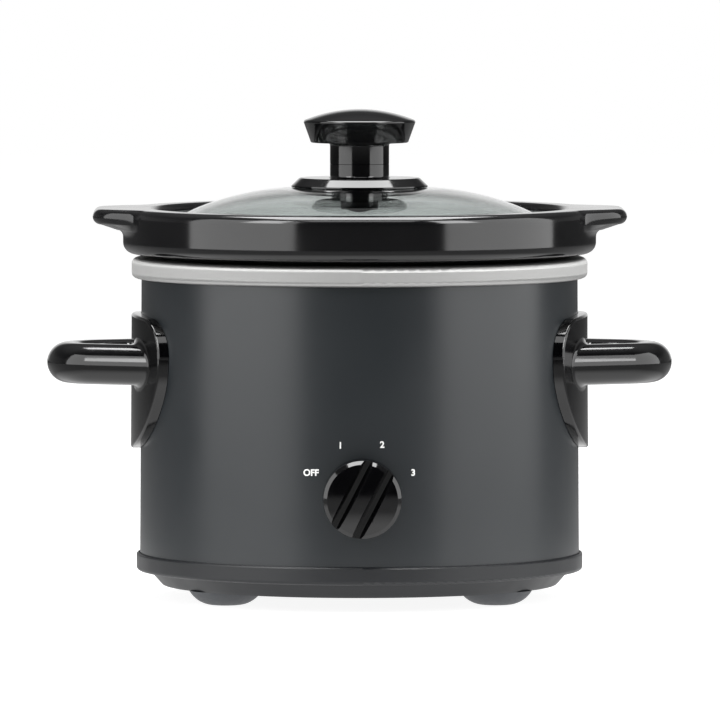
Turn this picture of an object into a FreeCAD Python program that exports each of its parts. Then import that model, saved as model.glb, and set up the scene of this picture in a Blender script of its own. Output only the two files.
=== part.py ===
import FreeCAD, Part
import math
import os
import re

import Sketcher

# A small round slow cooker: glass lid in a stoneware crock, the crock in a heated metal well,
# and the well in a painted sheet housing on a moulded base tray.
# +Z is up, the dial faces -Y, and the origin is on the cooker's axis at floor level.

SIZES = [
    ("foot_height", 6.5, "floor to the underside of the base tray"),
    ("foot_radius", 16.5, "foot at the tray"),
    ("foot_flat_radius", 5.5, "flat of the foot on the floor"),
    ("foot_stem_radius", 4.0, "stem pressed through the tray floor"),
    ("foot_stem_height", 8.0, "stem above the tray underside"),
    ("foot_angle", 35.0, "foot from the side axis, seen from above"),
    ("tier_height", 6.0, "tapered lower tier of the tray"),
    ("tier_inset", 6.2, "step from the band in to the tier"),
    ("tier_taper", 4.5, "tier radius lost towards the floor"),
    ("tier_edge", 1.0, "bevel at the foot of the tier"),
    ("band_height", 8.5, "upper band of the tray"),
    ("band_overhang", 1.5, "band outside the housing"),
    ("band_edge", 0.9, "rounding of the band's upper edge"),
    ("band_roll", 1.5, "rounding of the band's lower edge"),
    ("band_draft", 0.5, "slope under the band"),
    ("lip_drop", 1.0, "inner lip of the tray below the band"),
    ("groove_depth", 6.0, "housing edge down into the tray"),
    ("tray_wall", 2.2, "moulded wall of the tray"),
    ("rib_thickness", 1.6, "tray floor rib"),
    ("rib_height", 4.0, "tray floor rib above the floor"),
    ("housing_top_radius", 99.3, "painted housing at the ring"),
    ("housing_flare", 0.9, "housing radius gained towards the tray"),
    ("housing_wall", 0.6, "housing sheet"),
    ("housing_shown_height", 125.1, "housing between tray and ring"),
    ("ring_height", 9.2, "rolled metal ring"),
    ("ring_overhang", 4.5, "ring outside the housing"),
    ("ring_corner", 2.5, "rolled corner of the ring"),
    ("well_gap", 11.8, "housing to the inside of the well"),
    ("well_taper", 3.5, "well radius lost towards its floor"),
    ("well_wall", 0.8, "well sheet"),
    ("well_corner", 8.0, "inside corner of the well floor"),
    ("well_lip", 3.0, "bend from the well wall to the ring"),
    ("well_floor_rise", 41.0, "tray band to the well floor"),
    ("crock_gap", 1.0, "crock wall to well wall"),
    ("crock_rest_gap", 2.5, "crock foot above the well floor"),
    ("crock_wall", 6.5, "stoneware wall"),
    ("crock_floor", 8.0, "stoneware floor"),
    ("crock_outer_corner", 12.0, "outside corner of the crock floor"),
    ("crock_inner_corner", 14.0, "inside corner of the crock floor"),
    ("crock_foot_width", 12.0, "standing ring under the crock"),
    ("crock_foot_height", 1.2, "standing ring under the crock"),
    ("rim_height", 22.7, "metal ring to the top of the crock rim"),
    ("rim_overhang", 3.9, "crock rim outside the metal ring"),
    ("rim_width", 13.7, "crock rim seen from above"),
    ("rim_edge", 2.2, "rounding of the rim's upper edges"),
    ("rim_roll", 5.0, "rounding of the rim's lower edge"),
    ("rim_seat_rise", 1.7, "rolled edge above the seat on the ring"),
    ("rim_seat_width", 9.0, "flat seat of the rim on the ring"),
    ("recess_depth", 7.0, "lid recess below the rim"),
    ("ledge_fillet", 1.5, "glaze pooled in the corners of the recess"),
    ("lug_reach", 13.6, "lug beyond the rim"),
    ("lug_tip_half_width", 14.5, "straight tip of the lug, half"),
    ("lug_side_angle", 20.0, "lug sides, closing outwards"),
    ("lug_corner", 9.0, "lug corner seen from above"),
    ("lug_tip_thickness", 7.0, "lug at its tip"),
    ("lug_root_thickness", 10.4, "lug at the rim"),
    ("lug_edge", 2.8, "rounding of the lug edges"),
    ("seat_gap", 0.3, "play between pieces that lift off"),
    ("lid_clearance", 2.5, "lid edge to the recess wall"),
    ("lid_flange_width", 12.5, "flat rim of the glass"),
    ("glass_thickness", 4.0, "glass"),
    ("glass_edge", 1.9, "fire polished edge of the glass"),
    ("dome_step", 0.4, "dome foot above the flat rim"),
    ("dome_crown_radius", 420.0, "flat crown of the dome"),
    ("dome_crown_edge", 38.0, "crown, seen from above"),
    ("dome_shoulder_radius", 125.0, "shoulder of the dome"),
    ("lid_hole_radius", 4.0, "hole in the glass"),
    ("knob_cap_radius", 25.7, "lid knob at its widest"),
    ("knob_cap_under_radius", 22.1, "lid knob cap at its underside"),
    ("knob_cap_height", 10.0, "flared side of the cap"),
    ("knob_crown_height", 5.2, "domed top of the cap"),
    ("knob_crown_edge", 1.0, "rounding of the cap edge"),
    ("knob_cap_bevel", 0.5, "bevel above the flared side"),
    ("knob_cap_fillet", 1.5, "neck into the cap"),
    ("knob_neck_radius", 13.45, "neck of the lid knob"),
    ("knob_neck_upper", 9.6, "neck above the parting line"),
    ("knob_neck_lower", 6.4, "neck below the parting line"),
    ("knob_base_top_radius", 27.4, "cone on the glass, upper edge"),
    ("knob_base_radius", 31.0, "cone on the glass, lower edge"),
    ("knob_base_height", 2.1, "cone on the glass, centre height"),
    ("knob_base_wall", 2.4, "moulded wall of the cone"),
    ("knob_base_relief", 0.6, "hollow of the cone above the seal"),
    ("knob_base_land", 0.6, "upright edge of the cone"),
    ("knob_base_bevel", 0.4, "upper edge of the cone"),
    ("knob_base_fillet", 1.0, "cone into the neck"),
    ("parting_bevel", 0.2, "fine groove at the parting line"),
    ("knob_spigot_radius", 9.0, "spigot that centres the knob"),
    ("knob_spigot_height", 2.0, "spigot that centres the knob"),
    ("gasket_radius", 13.0, "seal between cone and glass"),
    ("gasket_thickness", 1.0, "seal between cone and glass"),
    ("insert_radius", 4.0, "threaded insert in the lid knob"),
    ("insert_length", 9.0, "threaded insert in the lid knob"),
    ("lid_screw_radius", 2.0, "screw up into the lid knob"),
    ("lid_screw_head_radius", 5.6, "screw head under the glass"),
    ("lid_screw_head_height", 1.6, "screw head under the glass"),
    ("screw_end_gap", 0.5, "screw end short of the insert's end"),
    ("cup_washer_radius", 8.6, "washer under the glass"),
    ("cup_washer_height", 3.2, "washer under the glass"),
    ("cup_washer_edge", 1.0, "rounding of the washer"),
    ("assembly_gap", 0.1, "play between fixed pieces"),
    ("handle_drop", 38.4, "metal ring to the handle's middle"),
    ("plate_gap", 0.2, "housing to the handle plate"),
    ("plate_thickness", 4.2, "handle plate on the housing"),
    ("plate_half_width", 49.3, "plate at its widest, half"),
    ("plate_widest_rise", 3.3, "widest point above the handle's middle"),
    ("plate_top_half_width", 35.0, "flat top of the plate, half"),
    ("plate_top_rise", 21.3, "corner of the flat top"),
    ("plate_toe_half_width", 20.0, "toe of the plate, half"),
    ("plate_toe_drop", 36.3, "corner of the toe"),
    ("plate_top_radius", 511.0, "crowned top edge of the plate"),
    ("plate_shoulder_radius", 17.0, "shoulder of the plate"),
    ("plate_side_radius", 39.5, "side of the plate"),
    ("plate_toe_radius", 73.0, "toe of the plate"),
    ("plate_edge", 1.2, "rounding of the plate's edge"),
    ("plate_blank_angle", 80.0, "shell that the plate is cut from"),
    ("grip_height", 18.4, "loop section, upright"),
    ("grip_width", 20.0, "loop section, across"),
    ("grip_reach", 42.7, "housing to the tip of the loop"),
    ("grip_bend_radius", 20.0, "bend of the loop at its middle"),
    ("grip_leg_angle", 25.0, "legs of the loop, closing outwards"),
    ("grip_root_fillet", 3.0, "loop into the plate"),
    ("handle_screw_angle", 16.5, "screws from the side axis, seen from above"),
    ("handle_screw_radius", 2.0, "screw into the handle"),
    ("handle_screw_length", 13.0, "screw beyond the housing"),
    ("handle_screw_head_radius", 4.0, "screw head inside the housing"),
    ("handle_screw_head_height", 2.4, "screw head inside the housing"),
    ("handle_screw_edge", 0.8, "rounding of the screw head"),
    ("dial_rise", 31.0, "tray band to the dial axis"),
    ("dial_radius", 17.8, "dial"),
    ("dial_depth", 15.0, "housing to the dial face"),
    ("dial_gap", 0.9, "housing to the dial skirt"),
    ("dial_draft", 0.4, "skirt radius lost towards the face"),
    ("dial_edge", 1.6, "chamfer round the dial face"),
    ("dial_dome", 1.6, "middle of the dial face above its edge"),
    ("dial_wall", 1.8, "dial skirt"),
    ("dial_hollow_depth", 7.5, "hollow behind the dial face"),
    ("dial_boss_radius", 5.5, "boss round the shaft"),
    ("dial_boss_gap", 0.7, "bush to the boss"),
    ("dial_rest_angle", 27.5, "grip bar clockwise from upright"),
    ("bar_top_half_width", 2.8, "grip bar at its top, half"),
    ("bar_foot_half_width", 4.4, "grip bar at the groove floor, half"),
    ("groove_foot_edge", 6.6, "far side of the groove at its floor"),
    ("groove_top_edge", 8.4, "far side of the groove at the face"),
    ("groove_floor_depth", 6.0, "grooves beside the grip bar"),
    ("shaft_radius", 3.0, "switch shaft"),
    ("shaft_clearance", 0.05, "shaft in its bores"),
    ("shaft_end_gap", 0.5, "shaft ends in their blind bores"),
    ("shaft_inside", 11.0, "shaft behind the housing face"),
    ("shaft_outside", 11.5, "shaft before the housing face"),
    ("switch_radius", 11.0, "rotary switch"),
    ("switch_front_gap", 1.4, "housing face to the switch body"),
    ("switch_depth", 13.6, "rotary switch"),
    ("bush_radius", 5.0, "threaded bush of the switch"),
    ("bush_outside", 4.5, "bush before the housing face"),
    ("bush_clearance", 0.2, "bush in the housing"),
    ("switch_nut_flats", 14.0, "nut on the bush, across flats"),
    ("switch_nut_height", 2.6, "nut on the bush"),
    ("blade_width", 4.8, "terminal blade"),
    ("blade_thickness", 0.8, "terminal blade"),
    ("blade_length", 8.0, "terminal blade"),
    ("blade_pitch", 6.5, "switch blades, centre to centre"),
    ("heater_thickness", 2.0, "heater belt"),
    ("heater_height", 40.0, "heater belt"),
    ("heater_rise", 10.0, "well floor to the belt"),
    ("heater_slit", 6.0, "gap between the belt's ends"),
    ("ear_thickness", 1.6, "turned out end of the belt"),
    ("ear_reach", 8.0, "turned out end of the belt"),
    ("ear_height", 20.0, "turned out end of the belt"),
    ("ear_hole_reach", 4.8, "bolt beyond the belt"),
    ("clamp_bolt_radius", 1.5, "bolt through the belt's ends"),
    ("clamp_head_radius", 2.8, "bolt head"),
    ("clamp_head_height", 1.8, "bolt head"),
    ("clamp_nut_flats", 5.5, "nut, across flats"),
    ("clamp_nut_height", 2.4, "nut"),
    ("bolt_end", 1.0, "bolt beyond its nut"),
    ("tab_angle", 20.0, "heater tabs, apart"),
    ("stud_radius", 2.5, "stud on the well floor"),
    ("stud_flange_radius", 8.0, "welded foot of the stud"),
    ("stud_flange_height", 1.2, "welded foot of the stud"),
    ("stud_nut_flats", 8.0, "nuts on the stud, across flats"),
    ("stud_nut_height", 3.0, "nuts on the stud"),
    ("stud_end", 0.5, "stud beyond its nut"),
    ("stud_washer_radius", 9.0, "washer under the tray"),
    ("stud_washer_height", 1.0, "washer under the tray"),
    ("nut_recess_radius", 13.0, "recess under the tray"),
    ("nut_recess_depth", 5.0, "recess under the tray"),
    ("shield_radius", 64.0, "heat shield"),
    ("shield_thickness", 0.6, "heat shield sheet"),
    ("shield_rim", 2.0, "turned down edge of the shield"),
    ("shield_spacer_radius", 4.5, "spacer above the shield"),
    ("shield_spacer_height", 5.4, "spacer above the shield"),
    ("fuse_radius", 2.0, "thermal fuse"),
    ("fuse_length", 12.0, "thermal fuse"),
    ("fuse_bevel", 0.5, "bevelled ends of the fuse"),
    ("fuse_place", 68.0, "thermal fuse behind the axis"),
    ("clip_sheet", 0.8, "fuse clip"),
    ("clip_width", 6.0, "fuse clip"),
    ("clip_half_span", 8.0, "fuse clip"),
    ("gland_rise", 15.0, "tray band to the cord gland"),
    ("gland_slot_width", 7.0, "slot for a flat cord"),
    ("gland_slot_height", 3.8, "slot for a flat cord"),
    ("gland_wall", 1.8, "gland round the slot"),
    ("gland_flange", 2.4, "gland flange beyond its stem"),
    ("gland_flange_thickness", 2.6, "gland flange"),
    ("gland_depth", 6.0, "gland inside the housing"),
    ("lead_radius", 1.1, "insulated lead"),
    ("cap_radius", 3.2, "crimp cap"),
    ("cap_length", 12.0, "crimp cap"),
    ("cap_edge", 1.0, "rounding of the crimp cap"),
    ("cap_spread", 22.0, "crimp caps from the middle"),
    ("cap_place", 62.0, "crimp caps behind the axis"),
]
NAMES = {name for name, number, note in SIZES}
RIB_COUNT = 8
# Cutting outlines reach this far past what they cut.
CUT_MARGIN = 1.0
# Edges within this distance of the plate's outer skin lie on it; the skin tapers with the housing.
SKIN_TOLERANCE = 0.6
# Share of the shorter run that a lead's bend takes at each corner.
BEND_SHARE = 0.45

# Heights, from the floor up.
BAND_BOTTOM = "(foot_height + tier_height)"
BAND_TOP = f"({BAND_BOTTOM} + band_height)"
LEDGE = f"({BAND_TOP} - groove_depth)"
TRAY_FLOOR = "(foot_height + tray_wall)"
RING_BOTTOM = f"({BAND_TOP} + housing_shown_height)"
RING_TOP = f"({RING_BOTTOM} + ring_height)"
HOUSING_TOP = f"({RING_TOP} - well_wall - seat_gap)"
WELL_FLOOR = f"({BAND_TOP} + well_floor_rise)"
WELL_UNDER = f"({WELL_FLOOR} - well_wall)"
CROCK_FOOT = f"({WELL_FLOOR} + crock_rest_gap)"
CROCK_FLOOR = f"({CROCK_FOOT} + crock_floor)"
CROCK_SEAT = f"({RING_TOP} + seat_gap)"
RIM_TOP = f"({RING_TOP} + rim_height)"
LID_LEDGE = f"({RIM_TOP} - recess_depth)"
GLASS_RIM = f"({LID_LEDGE} + seat_gap)"
GLASS_RIM_TOP = f"({GLASS_RIM} + glass_thickness)"
DOME_FOOT = f"({GLASS_RIM_TOP} + dome_step)"
HANDLE_MIDDLE = f"({RING_BOTTOM} - handle_drop)"
DIAL_HEIGHT = f"({BAND_TOP} + dial_rise)"
HEATER_FOOT = f"({WELL_FLOOR} + heater_rise)"
HEATER_TOP = f"({HEATER_FOOT} + heater_height)"
STUD_FLANGE = f"({WELL_UNDER} - stud_flange_height)"
SHIELD_TOP = f"({STUD_FLANGE} - shield_spacer_height)"
SHIELD_UNDER = f"({SHIELD_TOP} - shield_thickness)"
NUT_RECESS = "(foot_height + nut_recess_depth)"
FUSE_HEIGHT = f"({WELL_UNDER} - fuse_radius - assembly_gap)"
GLAND_HEIGHT = f"({BAND_TOP} + gland_rise)"

# Radii, from the housing inwards and outwards.
HOUSING_FOOT_RADIUS = "(housing_top_radius + housing_flare)"
BAND_RADIUS = f"({HOUSING_FOOT_RADIUS} + band_overhang)"
TIER_TOP_RADIUS = f"({BAND_RADIUS} - tier_inset)"
TIER_FOOT_RADIUS = f"({TIER_TOP_RADIUS} - tier_taper)"
FOOT_CIRCLE = f"({TIER_FOOT_RADIUS} - foot_radius)"
RING_RADIUS = "(housing_top_radius + ring_overhang)"
WELL_TOP_RADIUS = "(housing_top_radius - well_gap)"
WELL_FOOT_RADIUS = f"({WELL_TOP_RADIUS} - well_taper)"
CROCK_TOP_RADIUS = f"({WELL_TOP_RADIUS} - crock_gap)"
CROCK_FOOT_RADIUS = f"({WELL_FOOT_RADIUS} - crock_gap)"
MOUTH_RADIUS = f"({CROCK_TOP_RADIUS} - crock_wall)"
BOWL_FOOT_RADIUS = f"({CROCK_FOOT_RADIUS} - crock_wall)"
RIM_RADIUS = f"({RING_RADIUS} + rim_overhang)"
RECESS_RADIUS = f"({RIM_RADIUS} - rim_width)"
LID_RADIUS = f"({RECESS_RADIUS} - lid_clearance)"
DOME_RADIUS = f"({LID_RADIUS} - lid_flange_width)"
HEATER_GAP = "(well_wall + seat_gap)"


def housing_at(height):
    """Outside radius of the tapered housing at a height."""
    return f"({HOUSING_FOOT_RADIUS} - housing_flare * ({height} - {LEDGE}) / ({HOUSING_TOP} - {LEDGE}))"


def well_at(height):
    """Inside radius of the tapered well at a height."""
    span = f"({RING_TOP} - well_lip - {WELL_FLOOR} - well_corner)"
    return f"({WELL_FOOT_RADIUS} + well_taper * ({height} - {WELL_FLOOR} - well_corner) / {span})"


# The dome has a flat crown that runs smoothly into a rounder shoulder.
CROWN_SINE = "(dome_crown_edge / dome_crown_radius)"
SHOULDER_SINE = f"({CROWN_SINE} + ({DOME_RADIUS} - dome_crown_edge) / dome_shoulder_radius)"
CROWN_COSINE = f"sqrt(1 - {CROWN_SINE}^2)"
SHOULDER_COSINE = f"sqrt(1 - {SHOULDER_SINE}^2)"
CROWN_EDGE_HEIGHT = f"({DOME_FOOT} + dome_shoulder_radius * ({CROWN_COSINE} - {SHOULDER_COSINE}))"
CROWN_MIDDLE = f"({CROWN_EDGE_HEIGHT} - dome_crown_radius * {CROWN_COSINE})"
HOLE_EDGE_HEIGHT = f"({CROWN_MIDDLE} + sqrt(dome_crown_radius^2 - lid_hole_radius^2))"
SKIRT_INNER_RADIUS = "(knob_base_radius - knob_base_wall)"
SKIRT_EDGE_HEIGHT = f"({CROWN_MIDDLE} + sqrt(dome_crown_radius^2 - {SKIRT_INNER_RADIUS}^2) + assembly_gap)"
GLASS_TOP = f"({CROWN_MIDDLE} + dome_crown_radius)"
GLASS_AT_WASHER = f"({CROWN_MIDDLE} + sqrt(dome_crown_radius^2 - cup_washer_radius^2))"
WASHER_TOP = f"({GLASS_AT_WASHER} - glass_thickness - assembly_gap)"
GASKET_FOOT = f"({GLASS_TOP} + assembly_gap)"
KNOB_BASE_SEAT = f"({GASKET_FOOT} + gasket_thickness)"
KNOB_BASE_TOP = f"({KNOB_BASE_SEAT} + knob_base_height)"
KNOB_PARTING = f"({KNOB_BASE_TOP} + knob_neck_lower)"
KNOB_CAP_UNDER = f"({KNOB_PARTING} + knob_neck_upper)"
KNOB_CAP_EDGE = f"({KNOB_CAP_UNDER} + knob_cap_height)"
KNOB_TOP = f"({KNOB_CAP_EDGE} + knob_crown_height)"
INSERT_FOOT = f"({KNOB_PARTING} + knob_spigot_height + assembly_gap)"
INSERT_TOP = f"({INSERT_FOOT} + insert_length)"
CUP_WASHER_FOOT = f"({WASHER_TOP} - cup_washer_height)"
DIAL_FACE = housing_at(DIAL_HEIGHT)

FRONT = FreeCAD.Rotation(FreeCAD.Vector(1, 0, 0), 90)
REAR = FreeCAD.Rotation(FreeCAD.Vector(1, 0, 0), -90)
UP = FreeCAD.Vector(0, 0, 1)

doc = FreeCAD.newDocument("slow_cooker")
sheet = doc.addObject("Spreadsheet::Sheet", "sizes")
for row, (name, number, note) in enumerate(SIZES, 1):
    sheet.set(f"A{row}", note)
    sheet.set(f"B{row}", str(number))
    sheet.setAlias(f"B{row}", name)
doc.recompute()
pieces = {}


def value(text):
    """Number that an expression in the sheet's sizes gives."""
    return float(sheet.evalExpression(text))


def bind(thing, prop, text):
    """Tie a property to an expression in the sheet's sizes."""
    named = re.sub(r"[a-z]\w*", lambda word: f"sizes.{word[0]}" if word[0] in NAMES else word[0], text)
    thing.setExpression(prop, named)


def new_body(label):
    """Body that becomes the sub-part of that name."""
    body = doc.addObject("PartDesign::Body", label)
    pieces[label] = body
    return body


def new_sketch(body, name, role, offset=None):
    """Sketch on one of the body's own origin planes, or parallel to it."""
    sketch = body.newObject("Sketcher::SketchObject", name)
    plane = next(plane for plane in body.Origin.OriginFeatures if plane.Role == role)
    sketch.AttachmentSupport = [(plane, "")]
    sketch.MapMode = "FlatFace"
    if offset:
        bind(sketch, "AttachmentOffset.Base.z", offset)
    return sketch


def pin_point(sketch, edge, end, place):
    """Tie one end of an edge to a place in the sketch."""
    for kind, axis, text in (("DistanceX", -2, place[0]), ("DistanceY", -1, place[1])):
        if text == "0":
            sketch.addConstraint(Sketcher.Constraint("PointOnObject", edge, end, axis))
        else:
            number = sketch.addConstraint(Sketcher.Constraint(kind, -1, 1, edge, end, value(text)))
            bind(sketch, f"Constraints[{number}]", text)


def arc_between(here, there, radius, turn):
    """Arc of under a half circle, turning left for +1 and right for -1."""
    chord = there - here
    left = FreeCAD.Vector(-chord.y, chord.x, 0).normalize()
    rise = math.sqrt(max(radius**2 - (chord.Length / 2) ** 2, 0))
    middle = (here + there) * 0.5 + left * (rise * turn)
    first, last = (here, there) if turn > 0 else (there, here)
    start = math.atan2(first.y - middle.y, first.x - middle.x)
    stop = math.atan2(last.y - middle.y, last.x - middle.x)
    if stop < start:
        stop += 2 * math.pi
    return Part.ArcOfCircle(Part.Circle(middle, UP, radius), start, stop)


def draw(sketch, corners, closed=True):
    """Outline of (x, y) corners; (x, y, radius, turn) starts an arc to the next corner."""
    first = sketch.GeometryCount
    places = [FreeCAD.Vector(value(corner[0]), value(corner[1]), 0) for corner in corners]
    count = len(corners) if closed else len(corners) - 1
    ends = []
    for index in range(count):
        here, there = places[index], places[(index + 1) % len(corners)]
        if len(corners[index]) == 2:
            sketch.addGeometry(Part.LineSegment(here, there), False)
            ends.append((1, 2))
        else:
            radius, turn = corners[index][2:]
            sketch.addGeometry(arc_between(here, there, value(radius), turn), False)
            ends.append((1, 2) if turn > 0 else (2, 1))
    for index in range(count if closed else count - 1):
        after = (index + 1) % count
        joint = (first + index, ends[index][1], first + after, ends[after][0])
        sketch.addConstraint(Sketcher.Constraint("Coincident", *joint))
    for index in range(count):
        pin_point(sketch, first + index, ends[index][0], corners[index])
        if len(corners[index]) > 2:
            radius = corners[index][2]
            number = sketch.addConstraint(Sketcher.Constraint("Radius", first + index, value(radius)))
            bind(sketch, f"Constraints[{number}]", radius)
    if not closed:
        pin_point(sketch, first + count - 1, ends[-1][1], corners[-1])


def draw_circle(sketch, place, radius):
    """Circle tied to a place and a radius."""
    middle = FreeCAD.Vector(value(place[0]), value(place[1]), 0)
    edge = sketch.addGeometry(Part.Circle(middle, UP, value(radius)), False)
    number = sketch.addConstraint(Sketcher.Constraint("Radius", edge, value(radius)))
    bind(sketch, f"Constraints[{number}]", radius)
    pin_point(sketch, edge, 3, place)


def draw_slot(sketch, width, height):
    """Upright slot shape with round ends, about the sketch's origin."""
    end = f"({height} / 2)"
    flat = f"({width} / 2 - {height} / 2)"
    side = f"({width} / 2)"
    draw(sketch, [
        (f"-{flat}", f"-{end}"), (flat, f"-{end}", end, 1), (side, "0", end, 1),
        (flat, end), (f"-{flat}", end, end, 1), (f"-{side}", "0", end, 1),
    ])


def draw_hexagon(sketch, flats):
    """Hexagon by its size across flats, with two flats upright."""
    reach = f"({flats} / sqrt(3))"
    half = f"({flats} / 2)"
    draw(sketch, [
        (half, f"-{reach} / 2"), (half, f"{reach} / 2"), ("0", reach),
        (f"-{half}", f"{reach} / 2"), (f"-{half}", f"-{reach} / 2"), ("0", f"-{reach}"),
    ])


def revolve(body, name, corners):
    """Turned form about the body's Z axis, from its XZ outline."""
    sketch = new_sketch(body, f"{name}_profile", "XZ_Plane")
    draw(sketch, corners)
    turned = body.newObject("PartDesign::Revolution", name)
    turned.Profile = sketch
    turned.ReferenceAxis = (sketch, ["V_Axis"])
    turned.Angle = 360
    return turned


def turned_piece(label, corners):
    """Sub-part that is one turned form."""
    body = new_body(label)
    revolve(body, f"{label}_form", corners)
    return body


def pad(body, name, sketch, length, midplane=False):
    """Sketch raised along its normal."""
    raised = body.newObject("PartDesign::Pad", name)
    raised.Profile = sketch
    raised.Midplane = midplane
    bind(raised, "Length", length)
    return raised


def check_cut(body, name, before):
    """Stop where a cut has taken nothing away."""
    doc.recompute()
    if body.Shape.Volume >= before:
        raise RuntimeError(f"{name} cuts nothing")


def pocket(body, name, sketch, midplane=False, reverse=False, length=None):
    """Sketch cut against its normal, through everything unless a length is given."""
    doc.recompute()
    before = body.Shape.Volume
    cut = body.newObject("PartDesign::Pocket", name)
    cut.Profile = sketch
    cut.Midplane = midplane
    cut.Reversed = reverse
    if length:
        bind(cut, "Length", length)
    else:
        cut.Type = "ThroughAll"
    check_cut(body, name, before)
    return cut


def drill(body, name, radius, start, length, rotation, height):
    """Round hole along a rotated Z axis, from a distance out on that axis."""
    doc.recompute()
    before = body.Shape.Volume
    hole = body.newObject("PartDesign::SubtractiveCylinder", name)
    bind(hole, "Radius", radius)
    bind(hole, "Height", length)
    along = rotation.multVec(UP) * value(start)
    hole.Placement = FreeCAD.Placement(along, rotation)
    bind(hole, "Placement.Base.z", height)
    check_cut(body, name, before)


def round_edges(body, name, radius, wanted):
    """Fillet on those edges of the body that the test picks."""
    doc.recompute()
    base = body.Tip
    chosen = [f"Edge{index}" for index, edge in enumerate(base.Shape.Edges, 1) if wanted(edge)]
    if not chosen:
        raise RuntimeError(f"{name} has no edges")
    rounding = body.newObject("PartDesign::Fillet", name)
    rounding.Base = (base, chosen)
    bind(rounding, "Radius", radius)
    doc.recompute()


def edge_points(edge, count=5):
    """Points spread along an edge."""
    first, last = edge.ParameterRange
    return [edge.valueAt(first + (last - first) * step / (count - 1)) for step in range(count)]


def mirror(name, source, normal):
    """Mirror image of an object through the origin."""
    image = doc.addObject("Part::Mirroring", name)
    image.Source = source
    image.Normal = normal
    return image


def group(label, members):
    """Like solids that share one sub-part."""
    together = doc.addObject("Part::Compound", label)
    together.Links = members
    pieces[label] = together
    return together


def face_front(body, turn=0.0):
    """Stand a piece made along Z on the dial axis, out of the housing's front."""
    body.Placement = FreeCAD.Placement(FreeCAD.Vector(), FRONT * FreeCAD.Rotation(UP, turn))
    bind(body, "Placement.Base.y", f"-{DIAL_FACE}")
    bind(body, "Placement.Base.z", DIAL_HEIGHT)


def radial(angle):
    """Rotation that lays the Z axis outwards at an angle from the X axis."""
    return FreeCAD.Rotation(UP, angle) * FreeCAD.Rotation(FreeCAD.Vector(0, 1, 0), 90)


def build_housing():
    """Painted sheet housing, open at both ends, with holes for the dial, handles and cord."""
    foot, top = HOUSING_FOOT_RADIUS, "housing_top_radius"
    body = turned_piece("outer_housing", [
        (f"{foot} - housing_wall", LEDGE), (foot, LEDGE),
        (top, HOUSING_TOP), (f"{top} - housing_wall", HOUSING_TOP),
    ])
    front = new_sketch(body, "bush_hole_outline", "XZ_Plane")
    draw_circle(front, ("0", DIAL_HEIGHT), "(bush_radius + bush_clearance)")
    pocket(body, "bush_hole", front, reverse=True)
    rear = new_sketch(body, "gland_hole_outline", "XZ_Plane")
    bind(rear, "AttachmentOffset.Base.y", GLAND_HEIGHT)
    draw_slot(
        rear,
        "(gland_slot_width + 2 * gland_wall + 2 * assembly_gap)",
        "(gland_slot_height + 2 * gland_wall + 2 * assembly_gap)",
    )
    pocket(body, "gland_hole", rear)
    screw = value("handle_screw_angle")
    for index, angle in enumerate((screw, -screw, 180 - screw, 180 + screw)):
        drill(body, f"screw_hole_{index}", "(handle_screw_radius + assembly_gap)",
              f"{WELL_TOP_RADIUS}", "2 * well_gap", radial(angle), HANDLE_MIDDLE)


def build_well():
    """Heated well of thin sheet, whose rim is rolled out and down over the housing as the ring."""
    inner, lip, wall, corner = WELL_TOP_RADIUS, "well_lip", "well_wall", "ring_corner"
    foot, floor_corner = WELL_FOOT_RADIUS, "well_corner"
    curl = f"({housing_at(RING_BOTTOM)} + seat_gap)"
    turned_piece("heating_well", [
        ("0", WELL_FLOOR),
        (f"{foot} - {floor_corner}", WELL_FLOOR, floor_corner, 1),
        (foot, f"{WELL_FLOOR} + {floor_corner}"),
        (inner, f"{RING_TOP} - {lip}", lip, -1),
        (f"{inner} + {lip}", RING_TOP),
        (f"{RING_RADIUS} - {corner}", RING_TOP, corner, -1),
        (RING_RADIUS, f"{RING_TOP} - {corner}"),
        (RING_RADIUS, f"{RING_BOTTOM} + {corner}", corner, -1),
        (f"{RING_RADIUS} - {corner}", RING_BOTTOM),
        (curl, RING_BOTTOM),
        (curl, f"{RING_BOTTOM} + {wall}"),
        (f"{RING_RADIUS} - {corner}", f"{RING_BOTTOM} + {wall}", f"({corner} - {wall})", 1),
        (f"{RING_RADIUS} - {wall}", f"{RING_BOTTOM} + {corner}"),
        (f"{RING_RADIUS} - {wall}", f"{RING_TOP} - {corner}", f"({corner} - {wall})", 1),
        (f"{RING_RADIUS} - {corner}", f"{RING_TOP} - {wall}"),
        (f"{inner} + {lip}", f"{RING_TOP} - {wall}", f"({lip} - {wall})", 1),
        (f"{inner} + {wall}", f"{RING_TOP} - {lip}"),
        (f"{foot} + {wall}", f"{WELL_FLOOR} + {floor_corner}", f"({floor_corner} + {wall})", -1),
        (f"{foot} - {floor_corner}", WELL_UNDER),
        ("0", WELL_UNDER),
    ])


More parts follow.
